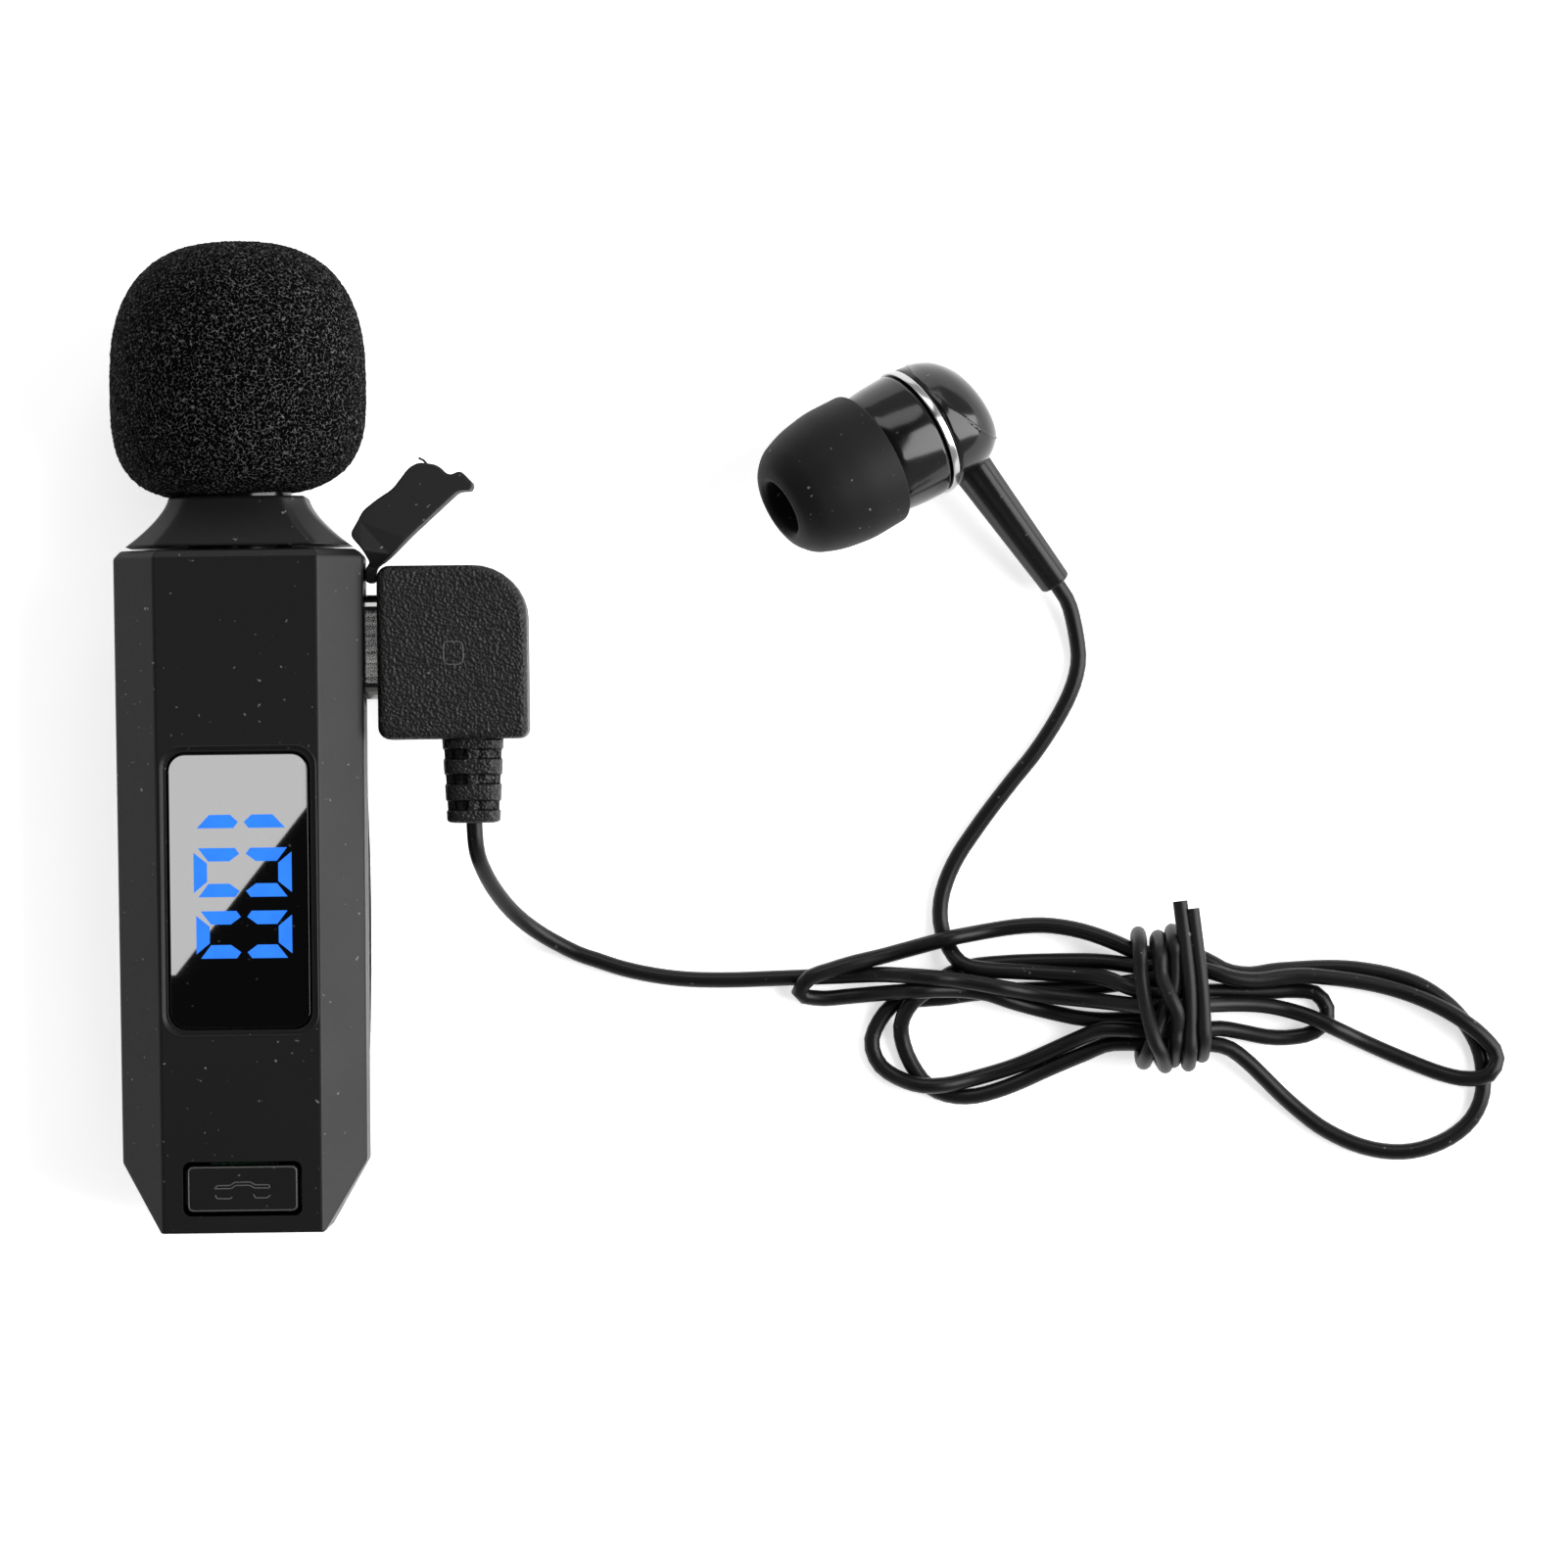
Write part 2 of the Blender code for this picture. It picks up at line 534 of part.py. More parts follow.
plate("display_window", rounded(WINDOW_WIDTH, WINDOW_HEIGHT, (1.35 * MM,) * 4),
      WINDOW_TOP_Z - WINDOW_THICKNESS, WINDOW_TOP_Z, glass)
plate("display_module", rounded(WINDOW_WIDTH - 2 * FIT, WINDOW_HEIGHT + 2 * BEZEL_BORDER, (0.5 * MM,) * 4, steps=1),
      MODULE_TOP_Z - MODULE_THICKNESS, MODULE_TOP_Z, black_plastic)

flange_z = INNER_FRONT_Z - GAP
button_cap = plate("button", rounded(BUTTON_WIDTH, BUTTON_HEIGHT, (0.45 * MM,) * 4, (0, BUTTON_Y)),
                   flange_z - BUTTON_FLANGE, FRONT_Z - 0.05 * MM, black_plastic)
button_wings = box("button_wings_join",
                   (-BUTTON_WIDTH / 2 - 0.9 * MM, BUTTON_Y - BUTTON_HEIGHT / 2 + 0.4 * MM, flange_z - BUTTON_FLANGE),
                   (BUTTON_WIDTH / 2 + 0.9 * MM, BUTTON_Y + BUTTON_HEIGHT / 2 - 0.4 * MM, flange_z))
boolean(button_cap, button_wings, "UNION")

board_top_y = SHOULDER_Y - WALL - 3.0 * MM
board_step_y = SCREW_Y + BOSS_RADIUS + 0.4 * MM
board_neck = SCREW_X - BOSS_RADIUS - 0.4 * MM
board_foot_y = FOOT_Y + WALL + 0.5 * MM
half_board = [(board_neck, board_foot_y), (board_neck, board_step_y), (BOARD_WIDTH / 2, board_step_y),
              (BOARD_WIDTH / 2, board_top_y)]
plate("main_board", half_board + [(-x, y) for x, y in reversed(half_board)],
      BOARD_TOP_Z - BOARD_THICKNESS, BOARD_TOP_Z, board_green)
switch_top = flange_z - BUTTON_FLANGE - BUTTON_TRAVEL - 0.1 * MM
box("button_switch", (-1.5 * MM, BUTTON_Y - 1.3 * MM, BOARD_TOP_Z + 0.1 * MM),
    (1.5 * MM, BUTTON_Y + 1.3 * MM, switch_top), steel)
antenna_y = WINDOW_HEIGHT / 2 + BEZEL_BORDER + 1.5 * MM
box("antenna", (-3.5 * MM, antenna_y, BOARD_TOP_Z + 0.1 * MM),
    (3.5 * MM, antenna_y + 2.0 * MM, BOARD_TOP_Z + 1.2 * MM), ceramic)
battery_top = INNER_BACK_Z + GAP + BATTERY_SIZE[2]
battery_y = board_step_y + 0.5 * MM
battery_outline = rounded(BATTERY_SIZE[0], BATTERY_SIZE[1], (0.8 * MM,) * 4,
                          (0, battery_y + BATTERY_SIZE[1] / 2), steps=2)
plate("battery", battery_outline, INNER_BACK_Z + GAP, battery_top, cell_wrap)


# ---------------------------------------------------------------- side port and plug

port_back = SIDE_X - PLUG_DEPTH - 1.6 * MM
receptacle = plate("usb_receptacle", stadium(PORT_WIDTH, PORT_THICKNESS), port_back, SIDE_X - 0.2 * MM, steel,
                   place=along_x())
boolean(receptacle, plate("receptacle_cut", stadium(PLUG_WIDTH + 2 * PLUG_FIT, PLUG_THICKNESS + 2 * PLUG_FIT),
                          port_back - WALL, SIDE_X + WALL, place=along_x()))
tongue_width = 6.7 * MM
tongue_thickness = 0.7 * MM
tongue_base = plate("receptacle_tongue", stadium(PLUG_WIDTH, PLUG_THICKNESS), port_back + 0.1 * MM,
                    port_back + 1.2 * MM, black_plastic, place=along_x())
boolean(tongue_base, box("tongue_join",
                         (port_back + WALL / 2, PORT_UP - tongue_width / 2, PORT_Z - tongue_thickness / 2),
                         (SIDE_X - 1.0 * MM, PORT_UP + tongue_width / 2, PORT_Z + tongue_thickness / 2)), "UNION")

grip_x = SIDE_X + PLUG_STANDOFF
shell_tip = SIDE_X - PLUG_DEPTH
shell_root = grip_x + 2.6 * MM
plug_shell = plate("plug_shell", stadium(PLUG_WIDTH, PLUG_THICKNESS), shell_tip, shell_root, steel,
                   place=along_x())
hollow_width = PLUG_WIDTH - 2 * PLUG_WALL
hollow_thickness = PLUG_THICKNESS - 2 * PLUG_WALL
boolean(plug_shell, plate("plug_shell_cut", stadium(hollow_width, hollow_thickness), shell_tip - WALL,
                          shell_root + WALL, place=along_x()))
plug_contacts = plate("plug_contacts", stadium(hollow_width - 0.14 * MM, hollow_thickness - 0.14 * MM),
                      shell_tip + 0.2 * MM, shell_root, black_plastic, place=along_x())
boolean(plug_contacts, box("contact_slot_cut",
                           (shell_tip - WALL, PORT_UP - tongue_width / 2 - 0.1 * MM,
                            PORT_Z - tongue_thickness / 2 - 0.1 * MM),
                           (SIDE_X - 0.6 * MM, PORT_UP + tongue_width / 2 + 0.1 * MM,
                            PORT_Z + tongue_thickness / 2 + 0.1 * MM)))
grip_top_y = PORT_UP + PORT_WIDTH / 2 + GRIP_OVER_PORT
grip_middle = (grip_x + GRIP_WIDTH / 2, grip_top_y - GRIP_LENGTH / 2)
plug_grip = plate("plug_grip",
                  rounded(GRIP_WIDTH, GRIP_LENGTH, (GRIP_BIG_CORNER, GRIP_CORNER, GRIP_CORNER, GRIP_CORNER),
                          grip_middle),
                  PORT_Z - GRIP_THICKNESS / 2, PORT_Z + GRIP_THICKNESS / 2, black_rubber)
bevel(plug_grip, 0.5 * MM, angle=50)
board_in_plug = shell_root + 5.2 * MM
boolean(plug_grip, plate("grip_pocket_cut", stadium(PLUG_WIDTH + 2 * FIT, PLUG_THICKNESS + 2 * FIT),
                         grip_x - WALL, board_in_plug + GAP, place=along_x()))
box("plug_board", (shell_root + GAP, PORT_UP - 3.4 * MM, PORT_Z - 0.4 * MM),
    (board_in_plug, PORT_UP + 3.4 * MM, PORT_Z + 0.4 * MM), board_green)

relief_x = grip_x + 7.4 * MM
relief_top = grip_top_y - GRIP_LENGTH - GAP
relief_profile = [(0, 0), (RELIEF_TOP_RADIUS, 0)]
for groove in range(3):
    for share, depth in ((0.14, 0), (0.14, RELIEF_GROOVE), (0.3, RELIEF_GROOVE), (0.3, 0)):
        along = (groove + share + 0.05) / 3.2
        radius = RELIEF_TOP_RADIUS + (RELIEF_END_RADIUS - RELIEF_TOP_RADIUS) * along
        relief_profile.append((radius - depth, -RELIEF_LENGTH * along))
relief_profile += [(RELIEF_END_RADIUS, -RELIEF_LENGTH), (0, -RELIEF_LENGTH)]
turned("cord_relief", relief_profile, Matrix.Translation((relief_x, 0, 0)) @ along_y(relief_top, PORT_Z), black_rubber,
       steps=20)


# ---------------------------------------------------------------- dust cover, open beside the port

COVER_HINGE = Vector((SIDE_X + 0.55 * MM, anchor_y, AXIS_Z))
cover_outline = [
    (0.3, -0.5), (0.3, 0.7), (1.7, 2.3), (4.3, 4.9), (7.3, 7.1), (8.2, 7.1), (8.3, 7.8), (7.3, 8.7), (6.6, 8.4),
    (5.0, 9.5), (3.3, 9.3), (2.2, 7.8), (0.3, 6.2), (-0.7, 4.9), (-1.3, 4.0), (-1.0, 3.3), (-0.3, 2.4), (-0.3, -0.5)]
cover = plate("dust_cover", [(COVER_HINGE.x + x * MM, COVER_HINGE.y + y * MM) for x, y in cover_outline],
              AXIS_Z - COVER_THICKNESS_Z / 2, AXIS_Z + COVER_THICKNESS_Z / 2, black_rubber)
boolean(cover, box("strap_top_cut", (COVER_HINGE.x - 1.5 * MM, anchor_y - far, AXIS_Z + 1.1 * MM),
                   (COVER_HINGE.x + 2.0 * MM, anchor_y + 1.6 * MM, far)))
boolean(cover, box("strap_back_cut", (COVER_HINGE.x - 1.5 * MM, anchor_y - far, -far),
                   (COVER_HINGE.x + 2.0 * MM, anchor_y + 1.6 * MM, AXIS_Z - 1.1 * MM)))
anchor_half = BODY_DEPTH / 2 - WALL - (FACE_CHAMFER - WALL * FACET_TAKE) - ANCHOR_CLEAR
anchor = box("cover_anchor", (SIDE_X - WALL - 1.0 * MM, anchor_y - 0.5 * MM, AXIS_Z - anchor_half),
             (SIDE_X - WALL - 0.25 * MM, anchor_y + 0.4 * MM, AXIS_Z + anchor_half), black_rubber)
boolean(anchor, box("anchor_neck_join", (SIDE_X - WALL - 0.5 * MM, anchor_y - 0.45 * MM, AXIS_Z - 1.0 * MM),
                    (SIDE_X - 0.1 * MM, anchor_y + 0.35 * MM, AXIS_Z + 1.0 * MM)), "UNION")


# ---------------------------------------------------------------- back clip

CLIP_PIN_Z = CLIP_PLATE + GAP + SPRING_WIRE + CLIP_PIN_RADIUS + 0.15 * MM
bracket_half = CLIP_BRACKET_WIDTH / 2
pin_place = Matrix.Translation((0, CLIP_PIN_UP, CLIP_PIN_Z)) @ Matrix.Rotation(math.radians(90), 4, "Y")
bracket_top = BACK_Z - GAP
bracket = box("clip_bracket", (-bracket_half, CLIP_PIN_UP - 3.2 * MM, bracket_top - 0.5 * MM),
              (bracket_half, CLIP_PIN_UP + 3.2 * MM, bracket_top), steel)
pin_hole = turned("pin_hole_cut", [(0, far), (CLIP_PIN_RADIUS + 0.08 * MM, far),
                                   (CLIP_PIN_RADIUS + 0.08 * MM, -far), (0, -far)], pin_place, steps=16)
for side in (-1, 1):
    outer = side * bracket_half
    inner = side * (bracket_half - CLIP_EAR)
    ear = box(f"ear_{'left' if side < 0 else 'right'}_join",
              (min(outer, inner), CLIP_PIN_UP - 1.5 * MM, CLIP_PIN_Z - 1.0 * MM),
              (max(outer, inner), CLIP_PIN_UP + 1.5 * MM, bracket_top - 0.2 * MM))
    boolean(bracket, ear, "UNION")
boolean(bracket, pin_hole)

jaw_y = CLIP_PIN_UP - CLIP_JAW_LENGTH
clip_top_y = CLIP_PIN_UP + CLIP_TAIL_LENGTH
clip_side = (clip_top_y - jaw_y) / 2 - CLIP_CORNER
clip_right = []
for i in range(5):
    angle = -math.pi / 2 * (1 - i / 4)
    clip_right.append((CLIP_END_WIDTH / 2 - CLIP_CORNER + CLIP_CORNER * math.cos(angle),
                       jaw_y + CLIP_CORNER + CLIP_CORNER * math.sin(angle)))
for i in range(1, 8):
    along = -1 + i / 4
    clip_right.append((CLIP_WIDTH / 2 - (CLIP_WIDTH - CLIP_END_WIDTH) / 2 * along ** 2,
                       (clip_top_y + jaw_y) / 2 + clip_side * along))
for i in range(5):
    angle = math.pi / 2 * i / 4
    clip_right.append((CLIP_END_WIDTH / 2 - CLIP_CORNER + CLIP_CORNER * math.cos(angle),
                       clip_top_y - CLIP_CORNER + CLIP_CORNER * math.sin(angle)))
lever = plate("clip_lever", clip_right + [(-x, y) for x, y in reversed(clip_right)], 0, CLIP_PLATE, steel)
lug_half = bracket_half - CLIP_EAR - GAP
for side in (-1, 1):
    outer = side * lug_half
    inner = side * (lug_half - CLIP_EAR)
    lug = box(f"lug_{'left' if side < 0 else 'right'}_join",
              (min(outer, inner), CLIP_PIN_UP - 1.2 * MM, CLIP_PLATE / 2),
              (max(outer, inner), CLIP_PIN_UP + 1.2 * MM, CLIP_PIN_Z + 0.95 * MM))
    boolean(lever, lug, "UNION")
jaw_lip = box("jaw_lip_join", (-CLIP_END_WIDTH / 2 + 3.0 * MM, jaw_y, CLIP_PLATE / 2),
              (CLIP_END_WIDTH / 2 - 3.0 * MM, jaw_y + 1.0 * MM, BACK_Z - GAP))
boolean(lever, jaw_lip, "UNION")
boolean(lever, pin_hole)
plate("clip_pad", rounded(CLIP_END_WIDTH - 7.0 * MM, 7.0 * MM, (1.0 * MM,) * 4, (0, jaw_y + 5.0 * MM), steps=2),
      CLIP_PLATE + 0.1 * MM, CLIP_PLATE + 1.3 * MM, black_rubber)
turned("clip_pin", [(0, bracket_half + 0.3 * MM), (CLIP_PIN_RADIUS, bracket_half + 0.3 * MM),
                    (CLIP_PIN_RADIUS, -bracket_half - 0.3 * MM), (0, -bracket_half - 0.3 * MM)],
       pin_place, steel, steps=16)
coil_radius = CLIP_PIN_RADIUS + 0.1 * MM + SPRING_WIRE / 2
coil_half = lug_half - CLIP_EAR - GAP
coil = []
for i in range(51):
    angle = math.tau * i / 10
    coil.append((-coil_half + 2 * coil_half * i / 50, CLIP_PIN_UP + coil_radius * math.cos(angle),
                 CLIP_PIN_Z + coil_radius * math.sin(angle)))
tube("clip_spring", coil, SPRING_WIRE / 2, steel)


# ---------------------------------------------------------------- earphone

# Local +Z runs from the housing out of the silicone tip.
ear_axis = Vector((-math.cos(EAR_RAISE) * math.cos(EAR_TURN), -math.cos(EAR_RAISE) * math.sin(EAR_TURN),
                   math.sin(EAR_RAISE)))
ear_place = Matrix.Translation(EAR_AT) @ ear_axis.to_track_quat("Z", "Y").to_matrix().to_4x4()
RING_HALF = 0.5 * MM
FRONT_END = 10.5 * MM

turned("ear_ring", [(DRIVER_RADIUS + FIT, RING_HALF), (EAR_RADIUS, RING_HALF), (EAR_RADIUS, -RING_HALF),
                    (DRIVER_RADIUS + FIT, -RING_HALF)], ear_place, steel, steps=36, closed=True)
front_start = RING_HALF + 0.2 * MM
housing_radius = EAR_RADIUS - 0.15 * MM
turned("ear_front_housing", [
    (1.3 * MM, FRONT_END), (NOZZLE_RADIUS, FRONT_END), (NOZZLE_RADIUS, 6.6 * MM), (3.2 * MM, 6.0 * MM),
    (4.5 * MM, 5.3 * MM), (5.0 * MM, 4.4 * MM), (housing_radius - 0.1 * MM, 2.8 * MM),
    (housing_radius, front_start), (DRIVER_RADIUS + FIT, front_start), (DRIVER_RADIUS + FIT, 2.4 * MM),
    (1.3 * MM, 4.2 * MM)], ear_place, black_gloss, steps=32, closed=True)
rear = turned("ear_rear_housing", [
    (0, -3.2 * MM), (DRIVER_RADIUS + FIT, -2.9 * MM), (DRIVER_RADIUS + FIT, -front_start),
    (housing_radius, -front_start), (5.1 * MM, -2.6 * MM), (4.7 * MM, -4.0 * MM), (3.8 * MM, -5.2 * MM),
    (2.4 * MM, -5.9 * MM), (0, -6.1 * MM)], ear_place, black_gloss, steps=32)
# A flat facet across the back that faces outwards and a little up.
facet_place = (Matrix.Translation(EAR_AT) @ Matrix.Rotation(math.radians(48), 4, "Z")
               @ Matrix.Rotation(math.radians(-25), 4, "Y"))
facet_cut = box("ear_facet_cut", (4.95 * MM, -far, -far), (far, far, far))
facet_cut.matrix_world = facet_place
boolean(rear, facet_cut)
turned("ear_driver", [(0, 1.9 * MM), (DRIVER_RADIUS, 1.9 * MM), (DRIVER_RADIUS, -0.9 * MM), (0, -0.9 * MM)],
       ear_place, cell_wrap, steps=24)
turned("ear_magnet", [(0, -1.1 * MM), (2.5 * MM, -1.1 * MM), (2.5 * MM, -2.5 * MM), (0, -2.5 * MM)],
       ear_place, steel, steps=20)
turned("nozzle_mesh", [(0, FRONT_END + 0.5 * MM), (NOZZLE_RADIUS - 0.2 * MM, FRONT_END + 0.5 * MM),
                       (NOZZLE_RADIUS - 0.2 * MM, FRONT_END + 0.2 * MM), (0, FRONT_END + 0.2 * MM)],
       ear_place, steel, steps=16)

TIP_END = 13.6 * MM
SLEEVE_BORE = NOZZLE_RADIUS + FIT
SLEEVE_RADIUS = SLEEVE_BORE + TIP_WALL
turned("ear_tip", [
    (SLEEVE_BORE, TIP_END - 0.3 * MM), (SLEEVE_BORE + 0.3 * MM, TIP_END), (3.6 * MM, TIP_END - 0.3 * MM),
    (4.6 * MM, TIP_END - 1.3 * MM), (5.3 * MM, TIP_END - 3.2 * MM), (TIP_RADIUS, TIP_END - 5.8 * MM),
    (TIP_RADIUS - 0.1 * MM, TIP_END - 8.9 * MM), (TIP_RADIUS - TIP_WALL - 0.1 * MM, TIP_END - 8.9 * MM),
    (TIP_RADIUS - TIP_WALL, TIP_END - 5.8 * MM), (5.3 * MM - TIP_WALL, TIP_END - 3.4 * MM),
    (4.0 * MM, TIP_END - 1.9 * MM), (SLEEVE_RADIUS, TIP_END - 1.6 * MM), (SLEEVE_RADIUS, 7.0 * MM),
    (SLEEVE_BORE, 7.0 * MM)], ear_place, black_rubber, steps=32, closed=True)

STEM_START = Vector((59.0, 32.5, 4.2)) * MM
STEM_END = Vector((65.3, 23.8, 1.9)) * MM
stem_axis = STEM_END - STEM_START
stem_length = stem_axis.length
stem_place = Matrix.Translation(STEM_START) @ stem_axis.to_track_quat("Z", "Y").to_matrix().to_4x4()
turned("ear_stem", [(0, stem_length), (1.15 * MM, stem_length), (1.5 * MM, 0.6 * MM), (1.35 * MM, 0), (0, 0)],
       stem_place, black_rubber, steps=16)


# ---------------------------------------------------------------- cord, tied in a hank

cord_radius = CORD_DIAMETER / 2
relief_end = Vector((relief_x, relief_top - RELIEF_LENGTH - GAP, PORT_Z))
plug_route = [relief_end, relief_end - Vector((0, CORD_DIAMETER / 2, 0))] + [Vector(p) * MM for p in (
    (18.5, 3.2, 10.0), (18.9, 1.6, 8.6), (19.8, -0.3, 6.2), (21.2, -2.2, 3.6), (23.2, -3.9, 1.7),
    (26.0, -5.5, 0.85), (30.0, -6.9, 0.75), (34.1, -7.7, 0.75), (38.2, -7.9, 0.75), (42.9, -7.8, 0.8))]
tube("plug_lead", smooth(plug_route, 3.0 * MM), cord_radius, black_rubber)
stem_out = STEM_END + stem_axis.normalized() * GAP
ear_route = [stem_out] + [Vector(p) * MM for p in (
    (66.4, 21.9, 1.3), (67.1, 19.1, 0.8), (66.8, 16.2, 0.75), (65.6, 13.5, 0.75), (63.6, 10.4, 0.75),
    (61.3, 7.6, 0.75), (58.9, 4.5, 0.75), (56.8, 1.4, 0.75), (55.8, -1.2, 0.8), (55.6, -3.3, 0.9))]
tube("ear_lead", smooth(ear_route, 3.0 * MM), cord_radius, black_rubber)

hank_outline = [
    (43.3, -8.6), (44.3, -7.3), (48.3, -5.9), (51.0, -5.2), (55.6, -4.1), (61.5, -3.2), (66.0, -3.3),
    (69.4, -4.9), (72.5, -6.0), (77.5, -6.9), (83.0, -7.0), (89.5, -6.9), (94.5, -8.3), (98.9, -11.2),
    (101.1, -14.6), (100.4, -17.0), (98.0, -21.1), (93.0, -23.1), (87.5, -22.3), (82.6, -18.5),
    (79.2, -15.0), (75.0, -13.7), (70.6, -14.0), (65.8, -15.6), (60.5, -17.6), (55.4, -18.1), (51.0, -16.3),
    (49.2, -13.4), (49.3, -10.3), (46.8, -9.9), (44.4, -9.7)]
hank_curve = smooth([(x * MM, y * MM, 0) for x, y in hank_outline], 2.6 * MM, cyclic=True)
hank = plate("cord_hank", [(p.x, p.y) for p in hank_curve], 0.1 * MM, HANK_HEIGHT, black_rubber)
tie_groove = TIE_THICKNESS + GAP
boolean(hank, box("tie_under_cut", (TIE_X[0] - GAP, -far, -far), (TIE_X[1] + GAP, far, 0.1 * MM + tie_groove)))
boolean(hank, box("tie_over_cut", (TIE_X[0] - GAP, -far, TIE_HEIGHT - tie_groove), (TIE_X[1] + GAP, far, far)))
tie_wrap = rounded(2 * TIE_HALF_WIDTH, TIE_HEIGHT - 0.1 * MM, (2.2 * MM,) * 4)
tie_inner = rounded(2 * (TIE_HALF_WIDTH - TIE_THICKNESS), TIE_HEIGHT - 0.1 * MM - 2 * TIE_THICKNESS, (1.0 * MM,) * 4)
tie_place = along_x(0, TIE_MIDDLE_Y, (TIE_HEIGHT + 0.1 * MM) / 2)
tie = plate("twist_tie", tie_wrap, TIE_X[0], TIE_X[1], black_rubber, place=tie_place)
boolean(tie, plate("tie_hollow_cut", tie_inner, TIE_X[0] - WALL, TIE_X[1] + WALL, place=tie_place))

# Moving pieces hang from empties on their joint axes.
for name, place, children in (
        ("clip_axis", (0, CLIP_PIN_UP, CLIP_PIN_Z), ("clip_lever", "clip_pad")),
        ("cover_axis", COVER_HINGE, ("dust_cover",)),
        ("button_axis", (0, BUTTON_Y, FRONT_Z), ("button",)),
        ("foam_axis", (0, foam_foot, AXIS_Z), ("foam_windscreen",)),
        ("ear_tip_axis", EAR_AT, ("ear_tip",))):
    empty = bpy.data.objects.new(name, None)
    empty.empty_display_size = 5 * MM
    empty.location = place
    parts.objects.link(empty)
    bpy.context.view_layer.update()
    for child in children:
        obj = bpy.data.objects[child]
        obj.parent = empty
        obj.matrix_parent_inverse = empty.matrix_world.inverted()
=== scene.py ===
import math
import bmesh
import bpy
import numpy as np
from mathutils import Matrix, Vector


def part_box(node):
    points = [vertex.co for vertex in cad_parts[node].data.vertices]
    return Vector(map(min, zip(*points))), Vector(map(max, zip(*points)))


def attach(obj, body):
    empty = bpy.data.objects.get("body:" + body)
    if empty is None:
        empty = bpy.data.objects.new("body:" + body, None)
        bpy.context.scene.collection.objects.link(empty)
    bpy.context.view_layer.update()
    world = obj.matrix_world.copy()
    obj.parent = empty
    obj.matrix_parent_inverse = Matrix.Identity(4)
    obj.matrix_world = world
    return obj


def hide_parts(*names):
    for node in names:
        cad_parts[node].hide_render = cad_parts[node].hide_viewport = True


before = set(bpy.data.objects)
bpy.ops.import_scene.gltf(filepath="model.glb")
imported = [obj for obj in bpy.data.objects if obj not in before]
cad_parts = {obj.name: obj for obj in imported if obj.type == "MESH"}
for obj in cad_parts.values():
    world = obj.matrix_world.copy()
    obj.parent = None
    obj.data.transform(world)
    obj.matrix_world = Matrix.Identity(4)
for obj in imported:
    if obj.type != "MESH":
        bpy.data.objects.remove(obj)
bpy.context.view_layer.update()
mm = 0.001

# ------------------------------------------------------------------ studio
# A camera straight above the things on the table, turned a little so that the body leans left.
# White table, soft boxes at the sides, and a room that is bright low down and dim overhead.
scene = bpy.context.scene
plug_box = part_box("plug_shell")
port_z = (plug_box[0].z + plug_box[1].z) / 2
view_middle = Vector((43.1, 7.9, 0)) * mm
view_width = 124.9 * mm
camera_height = 600 * mm
lens = bpy.data.cameras.new("top_camera")
lens.sensor_width = 36
lens.lens = 36 * camera_height / view_width
lens.clip_end = 10
camera = bpy.data.objects.new("top_camera", lens)
camera.location = view_middle + Vector((0, 0, port_z + camera_height))
camera.rotation_euler = (0, 0, math.radians(-0.71))
scene.collection.objects.link(camera)
scene.camera = camera
scene.view_settings.view_transform = "Standard"


def nodes_of(made):
    """The material's node tree and its Principled shader."""
    made.use_nodes = True
    return made.node_tree, made.node_tree.nodes["Principled BSDF"]


def soft_box(name, place, target, size, power):
    light = bpy.data.lights.new(name, "AREA")
    light.shape = "RECTANGLE"
    light.size, light.size_y = size
    light.energy = power
    lamp = bpy.data.objects.new(name, light)
    lamp.location = place
    lamp.rotation_euler = (Vector(target) - Vector(place)).to_track_quat("-Z", "Y").to_euler()
    scene.collection.objects.link(lamp)


def flat_card(name, corners, made):
    mesh = bpy.data.meshes.new(name)
    mesh.from_pydata(corners, [], [tuple(range(len(corners)))])
    mesh.materials.append(made)
    card = bpy.data.objects.new(name, mesh)
    scene.collection.objects.link(card)
    return card


white_table = bpy.data.materials.new("white_table")
table_shader = nodes_of(white_table)[1]
table_shader.inputs["Base Color"].default_value = (0.94, 0.94, 0.94, 1)
table_shader.inputs["Roughness"].default_value = 0.7
table_shader.inputs["Emission Color"].default_value = (1, 1, 1, 1)
table_shader.inputs["Emission Strength"].default_value = 0.56
table_half = 2.5
flat_card("table", [(x * table_half, y * table_half, 0) for x, y in ((-1, -1), (1, -1), (1, 1), (-1, 1))],
          white_table)

# A pale card high on the left, which only the glossy display mirrors.
card_glow = bpy.data.materials.new("card_glow")
card_shader = nodes_of(card_glow)[1]
card_shader.inputs["Base Color"].default_value = (0, 0, 0, 1)
card_shader.inputs["Emission Color"].default_value = (1, 1, 1, 1)
card_shader.inputs["Emission Strength"].default_value = 12.5
card_z = 316
card = flat_card("pale_card", [tuple(Vector((x, y, card_z)) * mm) for x, y in (
    (-46, -13.9), (-29.4, -13.9), (-13.6, 5.9), (-13.6, 21), (-46, 21))], card_glow)
card.visible_camera = False
card.visible_shadow = False
card.visible_diffuse = False

